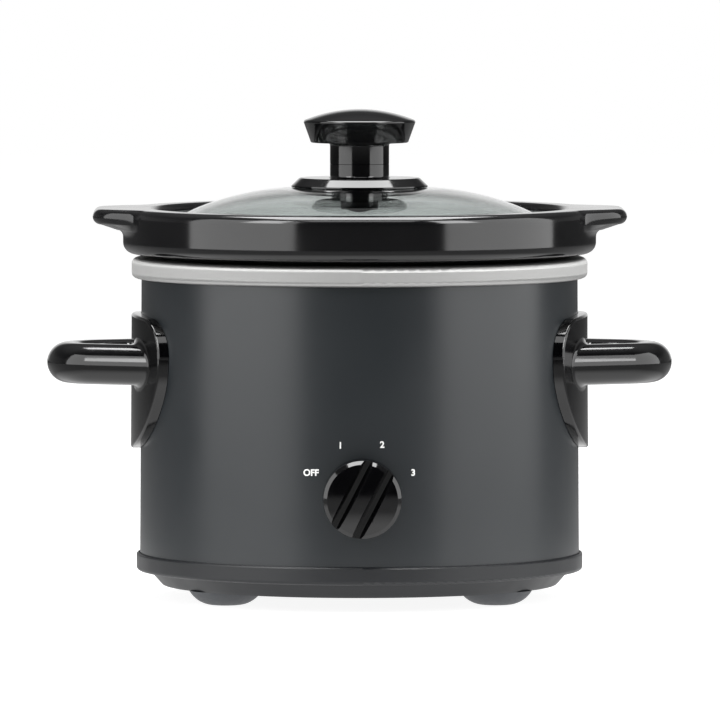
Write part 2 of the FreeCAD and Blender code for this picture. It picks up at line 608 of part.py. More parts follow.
def build_tray():
    """Moulded base tray: a band with a groove for the housing, a tapered tier and a ribbed floor."""
    lip_inside = f"({HOUSING_FOOT_RADIUS} - housing_wall - seat_gap)"
    wall_inside = f"({TIER_TOP_RADIUS} - tray_wall)"
    floor_edge = f"({TIER_FOOT_RADIUS} - tray_wall)"
    bore = "(stud_radius + 2 * seat_gap)"
    body = turned_piece("base_tray", [
        (bore, NUT_RECESS),
        ("nut_recess_radius", NUT_RECESS),
        ("nut_recess_radius", "foot_height"),
        (f"{TIER_FOOT_RADIUS} - tier_edge", "foot_height"),
        (TIER_FOOT_RADIUS, "foot_height + tier_edge"),
        (TIER_TOP_RADIUS, BAND_BOTTOM),
        (f"{BAND_RADIUS} - band_roll", f"{BAND_BOTTOM} + band_draft", "band_roll", 1),
        (BAND_RADIUS, f"{BAND_BOTTOM} + band_draft + band_roll"),
        (BAND_RADIUS, f"{BAND_TOP} - band_edge", "band_edge", 1),
        (f"{BAND_RADIUS} - band_edge", BAND_TOP),
        (f"{HOUSING_FOOT_RADIUS} + seat_gap", BAND_TOP),
        (f"{HOUSING_FOOT_RADIUS} + seat_gap", LEDGE),
        (lip_inside, LEDGE),
        (lip_inside, f"{BAND_TOP} - lip_drop"),
        (f"{lip_inside} - tray_wall", f"{BAND_TOP} - lip_drop"),
        (f"{lip_inside} - tray_wall", LEDGE),
        (wall_inside, LEDGE),
        (floor_edge, TRAY_FLOOR),
        ("nut_recess_radius + tray_wall", TRAY_FLOOR),
        ("nut_recess_radius + tray_wall", f"{NUT_RECESS} + tray_wall"),
        (bore, f"{NUT_RECESS} + tray_wall"),
    ])
    rib = new_sketch(body, "rib_outline", "XY_Plane", TRAY_FLOOR)
    start = "(nut_recess_radius + tray_wall / 2)"
    stop = f"({floor_edge} - tray_wall / 2)"
    half = "(rib_thickness / 2)"
    draw(rib, [(start, f"-{half}"), (stop, f"-{half}"), (stop, half), (start, half)])
    first_rib = pad(body, "rib", rib, "rib_height")
    doc.recompute()
    ribs = body.newObject("PartDesign::PolarPattern", "ribs")
    ribs.Originals = [first_rib]
    ribs.Axis = (rib, ["N_Axis"])
    ribs.Angle = 360
    ribs.Occurrences = RIB_COUNT
    body.Tip = ribs
    doc.recompute()
    sockets = new_sketch(body, "socket_outlines", "XY_Plane", TRAY_FLOOR)
    holes = new_sketch(body, "stem_hole_outlines", "XY_Plane")
    for place in foot_places().values():
        draw_circle(sockets, place, "(foot_stem_radius + tray_wall)")
        draw_circle(holes, place, "(foot_stem_radius + assembly_gap)")
    pad(body, "sockets", sockets, "rib_height")
    pocket(body, "stem_holes", holes, reverse=True)


def foot_places():
    """Middle of each foot, seen from above."""
    across = f"({FOOT_CIRCLE} * cos(foot_angle))"
    along = f"({FOOT_CIRCLE} * sin(foot_angle))"
    return {
        "foot_front_left": (f"-{across}", f"-{along}"),
        "foot_front_right": (across, f"-{along}"),
        "foot_rear_left": (f"-{across}", along),
        "foot_rear_right": (across, along),
    }


def build_feet():
    """Domed push-in feet."""
    rise = "foot_height"
    run = "(foot_radius - foot_flat_radius)"
    dome = f"(({run}^2 + {rise}^2) / (2 * {rise}))"
    for label, place in foot_places().items():
        body = turned_piece(label, [
            ("0", "0"), ("foot_flat_radius", "0", dome, 1), ("foot_radius", rise),
            ("foot_stem_radius", rise), ("foot_stem_radius", f"{rise} + foot_stem_height"),
            ("0", f"{rise} + foot_stem_height"),
        ])
        bind(body, "Placement.Base.x", place[0])
        bind(body, "Placement.Base.y", place[1])


def build_crock():
    """Glazed stoneware crock with a tall rim, a recess for the lid and two side lugs."""
    seat_edge = f"({RECESS_RADIUS} - rim_width / 2 + rim_seat_width)"
    roll_foot = f"({RIM_RADIUS} - rim_roll)"
    roll_height = f"({CROCK_SEAT} + rim_seat_rise)"
    foot_ring = f"({CROCK_FOOT_RADIUS} - crock_outer_corner)"
    bowl = doc.addObject("PartDesign::Body", "bowl")
    revolve(bowl, "bowl_form", [
        ("0", f"{CROCK_FOOT} + crock_foot_height"),
        (f"{foot_ring} - crock_foot_width", f"{CROCK_FOOT} + crock_foot_height"),
        (f"{foot_ring} - crock_foot_width + crock_foot_height", CROCK_FOOT),
        (foot_ring, CROCK_FOOT, "crock_outer_corner", 1),
        (CROCK_FOOT_RADIUS, f"{CROCK_FOOT} + crock_outer_corner"),
        (CROCK_TOP_RADIUS, CROCK_SEAT),
        (seat_edge, CROCK_SEAT),
        (roll_foot, roll_height, "rim_roll", 1),
        (RIM_RADIUS, f"{roll_height} + rim_roll"),
        (RIM_RADIUS, f"{RIM_TOP} - rim_edge", "rim_edge", 1),
        (f"{RIM_RADIUS} - rim_edge", RIM_TOP),
        (f"{RECESS_RADIUS} + rim_edge", RIM_TOP, "rim_edge", 1),
        (RECESS_RADIUS, f"{RIM_TOP} - rim_edge"),
        (RECESS_RADIUS, f"{LID_LEDGE} + ledge_fillet", "ledge_fillet", -1),
        (f"{RECESS_RADIUS} - ledge_fillet", LID_LEDGE),
        (f"{MOUTH_RADIUS} + ledge_fillet", LID_LEDGE, "ledge_fillet", 1),
        (MOUTH_RADIUS, f"{LID_LEDGE} - ledge_fillet"),
        (BOWL_FOOT_RADIUS, f"{CROCK_FLOOR} + crock_inner_corner", "crock_inner_corner", -1),
        (f"{BOWL_FOOT_RADIUS} - crock_inner_corner", CROCK_FLOOR),
        ("0", CROCK_FLOOR),
    ])
    right = build_lug()
    left = mirror("lug_left", right, FreeCAD.Vector(1, 0, 0))
    whole = doc.addObject("Part::MultiFuse", "crock")
    whole.Shapes = [bowl, right, left]
    whole.Refine = True
    pieces["crock"] = whole


def build_lug():
    """Lug of the crock: a tongue that narrows outwards, with rounded edges and a sloped underside."""
    lug = doc.addObject("PartDesign::Body", "lug_right")
    root = f"({RECESS_RADIUS} + rim_width / 2)"
    tip = f"({RIM_RADIUS} + lug_reach)"
    under = f"({RIM_TOP} - lug_root_thickness)"
    touch_x = f"({tip} - lug_corner + lug_corner * sin(lug_side_angle))"
    touch_y = "(lug_tip_half_width + lug_corner * cos(lug_side_angle))"
    root_y = f"({touch_y} + ({touch_x} - {root}) * tan(lug_side_angle))"
    plan = new_sketch(lug, "lug_plan", "XY_Plane", under)
    draw(plan, [
        (root, f"-{root_y}"), (touch_x, f"-{touch_y}", "lug_corner", 1),
        (tip, "-lug_tip_half_width"), (tip, "lug_tip_half_width", "lug_corner", 1),
        (touch_x, touch_y), (root, root_y),
    ])
    pad(lug, "lug_form", plan, "lug_root_thickness")
    slope = new_sketch(lug, "lug_slope", "XZ_Plane")
    beyond = f"({tip} + {CUT_MARGIN})"
    draw(slope, [
        (root, under), (beyond, under), (beyond, f"{RIM_TOP} - lug_tip_thickness"),
    ])
    pocket(lug, "lug_undercut", slope, midplane=True)
    root_face = value(f"{root} + assembly_gap")

    def on_outline(edge):
        points = edge_points(edge)
        upright = abs(points[0].z - points[-1].z) > value("lug_tip_thickness / 2")
        return all(point.x > root_face for point in points[1:-1]) and not upright

    round_edges(lug, "lug_rounding", "lug_edge", on_outline)
    return lug


def build_lid():
    """Domed glass lid with a flat rim and a hole for the knob's screw."""
    drop = "- glass_thickness"
    flat = f"({DOME_RADIUS} + dome_step)"
    edge = "glass_edge"
    turned_piece("lid_glass", [
        ("lid_hole_radius", HOLE_EDGE_HEIGHT, "dome_crown_radius", -1),
        ("dome_crown_edge", CROWN_EDGE_HEIGHT, "dome_shoulder_radius", -1),
        (DOME_RADIUS, DOME_FOOT),
        (flat, GLASS_RIM_TOP),
        (f"{LID_RADIUS} - {edge}", GLASS_RIM_TOP, edge, -1),
        (LID_RADIUS, f"{GLASS_RIM_TOP} - {edge}"),
        (LID_RADIUS, f"{GLASS_RIM} + {edge}", edge, -1),
        (f"{LID_RADIUS} - {edge}", GLASS_RIM),
        (flat, GLASS_RIM),
        (DOME_RADIUS, f"{DOME_FOOT} {drop}", "dome_shoulder_radius", 1),
        ("dome_crown_edge", f"{CROWN_EDGE_HEIGHT} {drop}", "dome_crown_radius", 1),
        ("lid_hole_radius", f"{HOLE_EDGE_HEIGHT} {drop}"),
    ])


def build_lid_knob():
    """Lid knob in two mouldings, with its insert, seal, washer and screw."""
    crown_run = "(knob_cap_radius - knob_crown_edge)"
    crown = f"(({crown_run}^2 + knob_crown_height^2) / (2 * knob_crown_height))"
    spigot_recess = f"{KNOB_PARTING} + knob_spigot_height + assembly_gap"
    turned_piece("lid_knob", [
        ("knob_spigot_radius + assembly_gap", KNOB_PARTING),
        ("knob_neck_radius", KNOB_PARTING),
        ("knob_neck_radius", f"{KNOB_CAP_UNDER} - knob_cap_fillet", "knob_cap_fillet", -1),
        ("knob_neck_radius + knob_cap_fillet", KNOB_CAP_UNDER),
        ("knob_cap_under_radius", KNOB_CAP_UNDER),
        ("knob_cap_radius", f"{KNOB_CAP_EDGE} - knob_cap_bevel"),
        (crown_run, KNOB_CAP_EDGE, crown, 1),
        ("0", KNOB_TOP),
        ("0", f"{INSERT_TOP} + assembly_gap"),
        ("insert_radius + assembly_gap", f"{INSERT_TOP} + assembly_gap"),
        ("insert_radius + assembly_gap", spigot_recess),
        ("knob_spigot_radius + assembly_gap", spigot_recess),
    ])
    bore = "(lid_screw_radius + assembly_gap)"
    relief = f"{KNOB_BASE_SEAT} + knob_base_relief"
    turned_piece("knob_base", [
        (bore, KNOB_BASE_SEAT),
        ("knob_neck_radius", KNOB_BASE_SEAT),
        ("knob_neck_radius", relief),
        ("knob_base_top_radius - knob_base_wall", relief),
        (SKIRT_INNER_RADIUS, SKIRT_EDGE_HEIGHT),
        ("knob_base_radius", SKIRT_EDGE_HEIGHT),
        ("knob_base_radius", f"{SKIRT_EDGE_HEIGHT} + knob_base_land"),
        ("knob_base_top_radius + knob_base_bevel", f"{KNOB_BASE_TOP} - knob_base_bevel"),
        ("knob_base_top_radius - knob_base_bevel / 2", KNOB_BASE_TOP),
        ("knob_neck_radius + knob_base_fillet", KNOB_BASE_TOP, "knob_base_fillet", -1),
        ("knob_neck_radius", f"{KNOB_BASE_TOP} + knob_base_fillet"),
        ("knob_neck_radius", f"{KNOB_PARTING} - parting_bevel"),
        ("knob_neck_radius - parting_bevel", KNOB_PARTING),
        ("knob_spigot_radius", KNOB_PARTING),
        ("knob_spigot_radius", f"{KNOB_PARTING} + knob_spigot_height"),
        (bore, f"{KNOB_PARTING} + knob_spigot_height"),
    ])
    turned_piece("knob_insert", [
        (bore, INSERT_FOOT), ("insert_radius", INSERT_FOOT),
        ("insert_radius", INSERT_TOP), (bore, INSERT_TOP),
    ])
    turned_piece("knob_gasket", [
        ("lid_hole_radius", GASKET_FOOT), ("gasket_radius", GASKET_FOOT),
        ("gasket_radius", KNOB_BASE_SEAT), ("lid_hole_radius", KNOB_BASE_SEAT),
    ])
    turned_piece("knob_washer", [
        (bore, CUP_WASHER_FOOT),
        ("cup_washer_radius - cup_washer_edge", CUP_WASHER_FOOT, "cup_washer_edge", 1),
        ("cup_washer_radius", f"{CUP_WASHER_FOOT} + cup_washer_edge"),
        ("cup_washer_radius", WASHER_TOP), (bore, WASHER_TOP),
    ])
    head = f"({CUP_WASHER_FOOT} - lid_screw_head_height)"
    head_arc = "((lid_screw_head_radius^2 + lid_screw_head_height^2) / (2 * lid_screw_head_height))"
    turned_piece("knob_screw", [
        ("0", head, head_arc, 1), ("lid_screw_head_radius", CUP_WASHER_FOOT),
        ("lid_screw_radius", CUP_WASHER_FOOT), ("lid_screw_radius", f"{INSERT_TOP} - screw_end_gap"),
        ("0", f"{INSERT_TOP} - screw_end_gap"),
    ])


def build_handle(label, turn):
    """Side handle: a shield shaped plate hugging the housing and a loop swept out of it."""
    body = new_body(label)
    inside = "plate_gap"
    outside = "plate_gap + plate_thickness"
    low = f"({HANDLE_MIDDLE} - plate_toe_drop - plate_toe_half_width)"
    high = f"({HANDLE_MIDDLE} + plate_top_rise + plate_toe_half_width)"
    blank = new_sketch(body, f"{label}_blank", "XZ_Plane")
    draw(blank, [
        (f"{housing_at(low)} + {inside}", low), (f"{housing_at(low)} + {outside}", low),
        (f"{housing_at(high)} + {outside}", high), (f"{housing_at(high)} + {inside}", high),
    ])
    shell = body.newObject("PartDesign::Revolution", f"{label}_shell")
    shell.Profile = blank
    shell.ReferenceAxis = (blank, ["V_Axis"])
    bind(shell, "Angle", "plate_blank_angle")
    shell.Midplane = True
    frame = new_sketch(body, f"{label}_outline", "YZ_Plane")
    bind(frame, "AttachmentOffset.Base.y", HANDLE_MIDDLE)
    top = ("plate_top_half_width", "plate_top_rise")
    wide = ("plate_half_width", "plate_widest_rise")
    toe = ("plate_toe_half_width", "-plate_toe_drop")
    draw(frame, [
        (*top, "plate_top_radius", 1),
        (f"-{top[0]}", top[1], "plate_shoulder_radius", 1),
        (f"-{wide[0]}", wide[1], "plate_side_radius", 1),
        (f"-{toe[0]}", toe[1], "plate_toe_radius", 1),
        (*toe, "plate_side_radius", 1),
        (*wide, "plate_shoulder_radius", 1),
    ])
    margin = f"({HOUSING_FOOT_RADIUS} + plate_thickness)"
    draw(frame, [
        (f"-{margin}", f"-{margin}"), (margin, f"-{margin}"), (margin, margin), (f"-{margin}", margin),
    ])
    pocket(body, f"{label}_trim", frame, reverse=True)
    skin = value(f"{housing_at(HANDLE_MIDDLE)} + {outside}")

    def on_skin(edge):
        points = edge_points(edge)
        return all(abs(math.hypot(point.x, point.y) - skin) < SKIN_TOLERANCE for point in points)

    round_edges(body, f"{label}_plate_rounding", "plate_edge", on_skin)

    bend = f"({housing_at(HANDLE_MIDDLE)} + grip_reach - grip_width / 2 - grip_bend_radius)"
    touch_x = f"({bend} + grip_bend_radius * sin(grip_leg_angle))"
    touch_y = "(grip_bend_radius * cos(grip_leg_angle))"
    root_x = f"({housing_at(HANDLE_MIDDLE)} - grip_width / 2)"
    root_y = f"({touch_y} + ({touch_x} - {root_x}) * tan(grip_leg_angle))"
    path = new_sketch(body, f"{label}_path", "XY_Plane", HANDLE_MIDDLE)
    tip = f"({bend} + grip_bend_radius)"
    draw(path, [
        (root_x, f"-{root_y}"), (touch_x, f"-{touch_y}", "grip_bend_radius", 1),
        (tip, "0", "grip_bend_radius", 1), (touch_x, touch_y), (root_x, root_y),
    ], closed=False)
    section = new_sketch(body, f"{label}_section", "YZ_Plane")
    section.AttachmentOffset = FreeCAD.Placement(
        FreeCAD.Vector(), FreeCAD.Rotation(FreeCAD.Vector(0, 1, 0), value("grip_leg_angle")))
    bind(section, "AttachmentOffset.Base.x", f"-{root_y}")
    bind(section, "AttachmentOffset.Base.y", HANDLE_MIDDLE)
    bind(section, "AttachmentOffset.Base.z", root_x)
    draw_slot(section, "grip_width", "grip_height")
    loop = body.newObject("PartDesign::AdditivePipe", f"{label}_loop")
    loop.Profile = section
    loop.Spine = path
    doc.recompute()

    before = body.Shape.Volume
    back = new_sketch(body, f"{label}_back", "XZ_Plane")
    draw(back, [
        ("0", low), (f"{housing_at(low)} + {inside}", low),
        (f"{housing_at(high)} + {inside}", high), ("0", high),
    ])
    hollow = body.newObject("PartDesign::Groove", f"{label}_seat")
    hollow.Profile = back
    hollow.ReferenceAxis = (back, ["V_Axis"])
    hollow.Angle = 360
    check_cut(body, f"{label}_seat", before)

    reach = value("grip_height / 2 + grip_root_fillet / 2")

    def at_root(edge):
        points = edge_points(edge)
        near = all(abs(math.hypot(point.x, point.y) - skin) < SKIN_TOLERANCE for point in points)
        return near and all(abs(point.z - value(HANDLE_MIDDLE)) < reach for point in points)

    round_edges(body, f"{label}_root_rounding", "grip_root_fillet", at_root)
    for side in (1, -1):
        drill(body, f"{label}_pilot", "(handle_screw_radius + assembly_gap)", "0",
              f"{housing_at(HANDLE_MIDDLE)} + handle_screw_length + screw_end_gap",
              radial(side * value("handle_screw_angle")), HANDLE_MIDDLE)
    body.Placement = FreeCAD.Placement(FreeCAD.Vector(), FreeCAD.Rotation(UP, turn))


def build_handle_screws():
    """Two pan head screws for each handle, driven from inside the housing."""
    screw = doc.addObject("PartDesign::Body", "handle_screw")
    seat = f"({housing_at(HANDLE_MIDDLE)} - housing_wall - seat_gap)"
    head = f"({seat} - handle_screw_head_height)"
    revolve(screw, "handle_screw_form", [
        ("0", head),
        ("handle_screw_head_radius - handle_screw_edge", head, "handle_screw_edge", 1),
        ("handle_screw_head_radius", f"{head} + handle_screw_edge"),
        ("handle_screw_head_radius", seat), ("handle_screw_radius", seat),
        ("handle_screw_radius", f"{seat} + handle_screw_length"),
        ("0", f"{seat} + handle_screw_length"),
    ])
    screw.Placement = FreeCAD.Placement(FreeCAD.Vector(), radial(value("handle_screw_angle")))
    bind(screw, "Placement.Base.z", HANDLE_MIDDLE)
    pair = doc.addObject("Part::Compound", "handle_screw_pair")
    pair.Links = [screw, mirror("handle_screw_front", screw, FreeCAD.Vector(0, 1, 0))]
    group("handle_screws", [pair, mirror("handle_screw_left", pair, FreeCAD.Vector(1, 0, 0))])


def build_dial():
    """Round dial with a domed face and a grip bar left standing between two grooves."""
    body = new_body("control_knob")
    bore = "(shaft_radius + shaft_clearance)"
    boss_foot = "(bush_outside + dial_boss_gap)"
    shaft_end = "(shaft_outside + shaft_end_gap)"
    face_edge = "(dial_radius - dial_draft - dial_edge)"
    dome = f"(({face_edge}^2 + dial_dome^2) / (2 * dial_dome))"
    skirt = "(dial_radius - dial_wall)"
    revolve(body, "dial_form", [
        (bore, boss_foot), ("dial_boss_radius", boss_foot),
        ("dial_boss_radius", "dial_hollow_depth"), (skirt, "dial_hollow_depth"),
        (skirt, "dial_gap"), ("dial_radius", "dial_gap"),
        ("dial_radius - dial_draft", "dial_depth - dial_dome - dial_edge"),
        (face_edge, "dial_depth - dial_dome", dome, 1), ("0", "dial_depth"),
        ("0", shaft_end), (bore, shaft_end),
    ])
    grooves = new_sketch(body, "groove_outlines", "XZ_Plane")
    floor = "(dial_depth - groove_floor_depth)"
    for side in ("", "-"):
        draw(grooves, [
            (f"{side}bar_top_half_width", "dial_depth"), (f"{side}bar_foot_half_width", floor),
            (f"{side}groove_foot_edge", floor), (f"{side}groove_top_edge", "dial_depth"),
        ])
    pocket(body, "grooves", grooves, midplane=True)
    face_front(body, -value("dial_rest_angle"))
    shaft = turned_piece("switch_shaft", [
        ("0", "-shaft_inside"), ("shaft_radius", "-shaft_inside"),
        ("shaft_radius", "shaft_outside"), ("0", "shaft_outside"),
    ])
    flat = new_sketch(shaft, "shaft_flat_outline", "XY_Plane", "bush_outside + dial_boss_gap")
    draw(flat, [
        ("shaft_radius / 2", "-2 * shaft_radius"), ("2 * shaft_radius", "-2 * shaft_radius"),
        ("2 * shaft_radius", "2 * shaft_radius"), ("shaft_radius / 2", "2 * shaft_radius"),
    ])
    pocket(shaft, "shaft_flat", flat, reverse=True)
    face_front(shaft, -value("dial_rest_angle"))


def build_switch():
    """Rotary switch behind the housing, held by a nut on its bush, with three blades."""
    bore = "(shaft_radius + shaft_clearance)"
    rear = "(switch_front_gap + switch_depth)"
    switch = turned_piece("rotary_switch", [
        ("0", f"-{rear}"), ("switch_radius", f"-{rear}"), ("switch_radius", "-switch_front_gap"),
        ("bush_radius", "-switch_front_gap"), ("bush_radius", "bush_outside"), (bore, "bush_outside"),
        (bore, "-shaft_inside - shaft_end_gap"), ("0", "-shaft_inside - shaft_end_gap"),
    ])
    face_front(switch)
    nut = new_body("switch_nut")
    outline = new_sketch(nut, "switch_nut_outline", "XY_Plane", "assembly_gap")
    draw_hexagon(outline, "switch_nut_flats")
    draw_circle(outline, ("0", "0"), "(bush_radius + assembly_gap)")
    pad(nut, "switch_nut_form", outline, "switch_nut_height")
    face_front(nut)
    blades = []
    for index in (-1, 0, 1):
        blade = doc.addObject("Part::Box", f"switch_blade_{index + 1}")
        bind(blade, "Length", "blade_thickness")
        bind(blade, "Width", "blade_length")
        bind(blade, "Height", "blade_width")
        bind(blade, "Placement.Base.x", f"{index} * blade_pitch - blade_thickness / 2")
        bind(blade, "Placement.Base.y", f"-{DIAL_FACE} + {rear}")
        bind(blade, "Placement.Base.z", f"{DIAL_HEIGHT} - blade_width / 2")
        blades.append(blade)
    group("switch_terminals", blades)


def build_heater():
    """Heater belt round the well, drawn tight by a bolt through its turned out ends."""
    body = new_body("heater_band")
    near = f"{well_at(HEATER_FOOT)} + {HEATER_GAP}"
    far = f"{well_at(HEATER_TOP)} + {HEATER_GAP}"
    revolve(body, "belt", [
        (near, HEATER_FOOT), (f"{near} + heater_thickness", HEATER_FOOT),
        (f"{far} + heater_thickness", HEATER_TOP), (far, HEATER_TOP),
    ])
    half = "(heater_slit / 2)"
    slit = new_sketch(body, "slit_outline", "XZ_Plane")
    below, above = f"({HEATER_FOOT} - {CUT_MARGIN})", f"({HEATER_TOP} + {CUT_MARGIN})"
    draw(slit, [
        (f"-{half}", below), (half, below), (half, above), (f"-{half}", above),
    ])
    pocket(body, "slit", slit, reverse=True)
    middle = f"({HEATER_FOOT} + heater_height / 2)"
    ear_start = f"({far})"
    ears = new_sketch(body, "ear_outlines", "XZ_Plane", ear_start)
    for side in ("", "-"):
        draw(ears, [
            (f"{side}{half}", f"{middle} - ear_height / 2"),
            (f"{side}({half} + ear_thickness)", f"{middle} - ear_height / 2"),
            (f"{side}({half} + ear_thickness)", f"{middle} + ear_height / 2"),
            (f"{side}{half}", f"{middle} + ear_height / 2"),
        ])
    pad(body, "ears", ears, "ear_reach")
    holes = new_sketch(body, "ear_hole_outline", "YZ_Plane")
    bolt_y = f"-({ear_start} + ear_hole_reach)"
    draw_circle(holes, (bolt_y, middle), "(clamp_bolt_radius + assembly_gap)")
    pocket(body, "ear_holes", holes, midplane=True)
    ear_face = f"({half} + ear_thickness)"
    nut_end = f"({ear_face} + clamp_nut_height)"
    sideways = FreeCAD.Rotation(FreeCAD.Vector(0, 1, 0), 90)
    bolt = turned_piece("heater_clamp_bolt", [
        ("0", f"-{ear_face} - clamp_head_height"),
        ("clamp_head_radius", f"-{ear_face} - clamp_head_height"),
        ("clamp_head_radius", f"-{ear_face}"), ("clamp_bolt_radius", f"-{ear_face}"),
        ("clamp_bolt_radius", f"{nut_end} + bolt_end"), ("0", f"{nut_end} + bolt_end"),
    ])
    nut = new_body("heater_clamp_nut")
    outline = new_sketch(nut, "clamp_nut_outline", "XY_Plane", ear_face)
    draw_hexagon(outline, "clamp_nut_flats")
    draw_circle(outline, ("0", "0"), "(clamp_bolt_radius + assembly_gap)")
    pad(nut, "clamp_nut_form", outline, "clamp_nut_height")
    for piece in (bolt, nut):
        piece.Placement = FreeCAD.Placement(FreeCAD.Vector(), sideways)
        bind(piece, "Placement.Base.y", bolt_y)
        bind(piece, "Placement.Base.z", middle)
    tabs = []
    for index in (-1, 0, 1):
        tab = doc.addObject("Part::Box", f"heater_tab_{index + 1}")
        bind(tab, "Length", "blade_width")
        bind(tab, "Width", "blade_thickness")
        bind(tab, "Height", "blade_length")
        turn = FreeCAD.Rotation(UP, -index * value("tab_angle"))
        out = value(f"{tab_radius()} - blade_thickness / 2")
        corner = FreeCAD.Vector(-value("blade_width") / 2, out, 0)
        tab.Placement = FreeCAD.Placement(turn.multVec(corner), turn)
        bind(tab, "Placement.Base.z", f"{HEATER_FOOT} - blade_length")
        tabs.append(tab)
    group("heater_tabs", tabs)


def tab_radius():
    """Distance of the heater tabs from the axis."""
    return f"({well_at(HEATER_FOOT)} + {HEATER_GAP} + heater_thickness / 2)"


def build_stud():
    """Stud that draws the well down on the housing and tray, and carries the heat shield."""
    bore = "(stud_radius + assembly_gap)"
    washer_foot = f"({NUT_RECESS} - stud_washer_height)"
    nut_foot = f"({washer_foot} - stud_nut_height)"
    turned_piece("center_bolt", [
        ("0", f"{nut_foot} - stud_end"), ("stud_radius", f"{nut_foot} - stud_end"),
        ("stud_radius", STUD_FLANGE), ("stud_flange_radius", STUD_FLANGE),
        ("stud_flange_radius", WELL_UNDER), ("0", WELL_UNDER),
    ])
    turned_piece("center_washer", [
        (bore, washer_foot), ("stud_washer_radius", washer_foot),
        ("stud_washer_radius", NUT_RECESS), (bore, NUT_RECESS),
    ])
    for label, foot in (("center_nut", nut_foot), ("shield_nut", f"{SHIELD_UNDER} - stud_nut_height")):
        nut = new_body(label)
        outline = new_sketch(nut, f"{label}_outline", "XY_Plane", foot)
        draw_hexagon(outline, "stud_nut_flats")
        draw_circle(outline, ("0", "0"), bore)
        pad(nut, f"{label}_form", outline, "stud_nut_height")
    turned_piece("shield_spacer", [
        (bore, SHIELD_TOP), ("shield_spacer_radius", SHIELD_TOP),
        ("shield_spacer_radius", STUD_FLANGE), (bore, STUD_FLANGE),
    ])
    inner = "(shield_radius - shield_thickness)"
    turned_piece("heat_shield", [
        (bore, SHIELD_UNDER), (inner, SHIELD_UNDER), (inner, f"{SHIELD_UNDER} - shield_rim"),
        ("shield_radius", f"{SHIELD_UNDER} - shield_rim"), ("shield_radius", SHIELD_TOP),
        (bore, SHIELD_TOP),
    ])


def build_fuse():
    """Thermal fuse held against the underside of the well by a bent clip."""
    sideways = FreeCAD.Rotation(FreeCAD.Vector(0, 1, 0), 90)
    half = "(fuse_length / 2)"
    end = "(fuse_radius - fuse_bevel)"
    fuse = turned_piece("thermal_fuse", [
        ("0", f"-{half}"), (end, f"-{half}"), ("fuse_radius", f"-{half} + fuse_bevel"),
        ("fuse_radius", f"{half} - fuse_bevel"), (end, half), ("0", half),
    ])
    fuse.Placement = FreeCAD.Placement(FreeCAD.Vector(), sideways)
    bind(fuse, "Placement.Base.y", "fuse_place")
    bind(fuse, "Placement.Base.z", FUSE_HEIGHT)
    clip = new_body("fuse_clip")
    side = new_sketch(clip, "clip_outline", "YZ_Plane")
    inner = "(fuse_radius + assembly_gap)"
    outer = f"({inner} + clip_sheet)"
    top, under = f"({WELL_UNDER} - {FUSE_HEIGHT})", f"({WELL_UNDER} - {FUSE_HEIGHT} - clip_sheet)"
    draw(side, [
        ("clip_half_span", top), (inner, top), (inner, "0", inner, -1), ("0", f"-{inner}", inner, -1),
        (f"-{inner}", "0"), (f"-{inner}", top), ("-clip_half_span", top), ("-clip_half_span", under),
        (f"-{outer}", under), (f"-{outer}", "0", outer, 1), ("0", f"-{outer}", outer, 1),
        (outer, "0"), (outer, under), ("clip_half_span", under),
    ])
    pad(clip, "clip_form", side, "clip_width", midplane=True)
    bind(clip, "Placement.Base.y", "fuse_place")
    bind(clip, "Placement.Base.z", FUSE_HEIGHT)


def build_gland():
    """Cord gland in the rear wall, with a slot for a flat two core cord."""
    body = new_body("cord_gland")
    stem = ("(gland_slot_width + 2 * gland_wall)", "(gland_slot_height + 2 * gland_wall)")
    wide = (f"({stem[0]} + 2 * gland_flange)", f"({stem[1]} + 2 * gland_flange)")
    flange = new_sketch(body, "gland_flange_outline", "XY_Plane", "assembly_gap")
    draw_slot(flange, *wide)
    pad(body, "gland_flange_form", flange, "gland_flange_thickness")
    inside = new_sketch(body, "gland_stem_outline", "XY_Plane", "-gland_depth")
    draw_slot(inside, *stem)
    pad(body, "gland_stem", inside, "gland_depth + gland_flange_thickness")
    slot = new_sketch(body, "gland_slot_outline", "XY_Plane")
    draw_slot(slot, "gland_slot_width", "gland_slot_height")
    pocket(body, "gland_slot", slot, midplane=True)
    body.Placement = FreeCAD.Placement(FreeCAD.Vector(), REAR)
    bind(body, "Placement.Base.y", housing_at(GLAND_HEIGHT))
    bind(body, "Placement.Base.z", GLAND_HEIGHT)


def lead_path(points):
    """Straight runs joined by tangent arcs as large as the runs allow."""
    edges = []
    start = points[0]
    for before, corner, after in zip(points, points[1:], points[2:]):
        back = (before - corner).normalize()
        ahead = (after - corner).normalize()
        cut = BEND_SHARE * min((before - corner).Length, (after - corner).Length)
        turn = math.pi - back.getAngle(ahead)
        radius = cut / math.tan(turn / 2)
        inward = (back + ahead).normalize()
        middle = corner + inward * (math.hypot(radius, cut) - radius)
        first, last = corner + back * cut, corner + ahead * cut
        edges.append(Part.LineSegment(start, first).toShape())
        edges.append(Part.Arc(first, middle, last).toShape())
        start = last
    edges.append(Part.LineSegment(start, points[-1]).toShape())
    return Part.Wire(edges)


def build_lead(label, points):
    """Insulated lead along a route of points."""
    route = lead_path([FreeCAD.Vector(*point) for point in points])
    radius = value("lead_radius")
    direction = FreeCAD.Vector(*points[1]) - FreeCAD.Vector(*points[0])
    section = Part.Wire(Part.makeCircle(radius, FreeCAD.Vector(*points[0]), direction))
    tube = route.makePipeShell([section], True, False)
    if abs(tube.Volume / (math.pi * radius**2 * route.Length) - 1) > 0.01:
        raise RuntimeError(f"{label} has the wrong volume")
    lead = doc.addObject("Part::Feature", label)
    lead.Shape = tube
    pieces[label] = lead


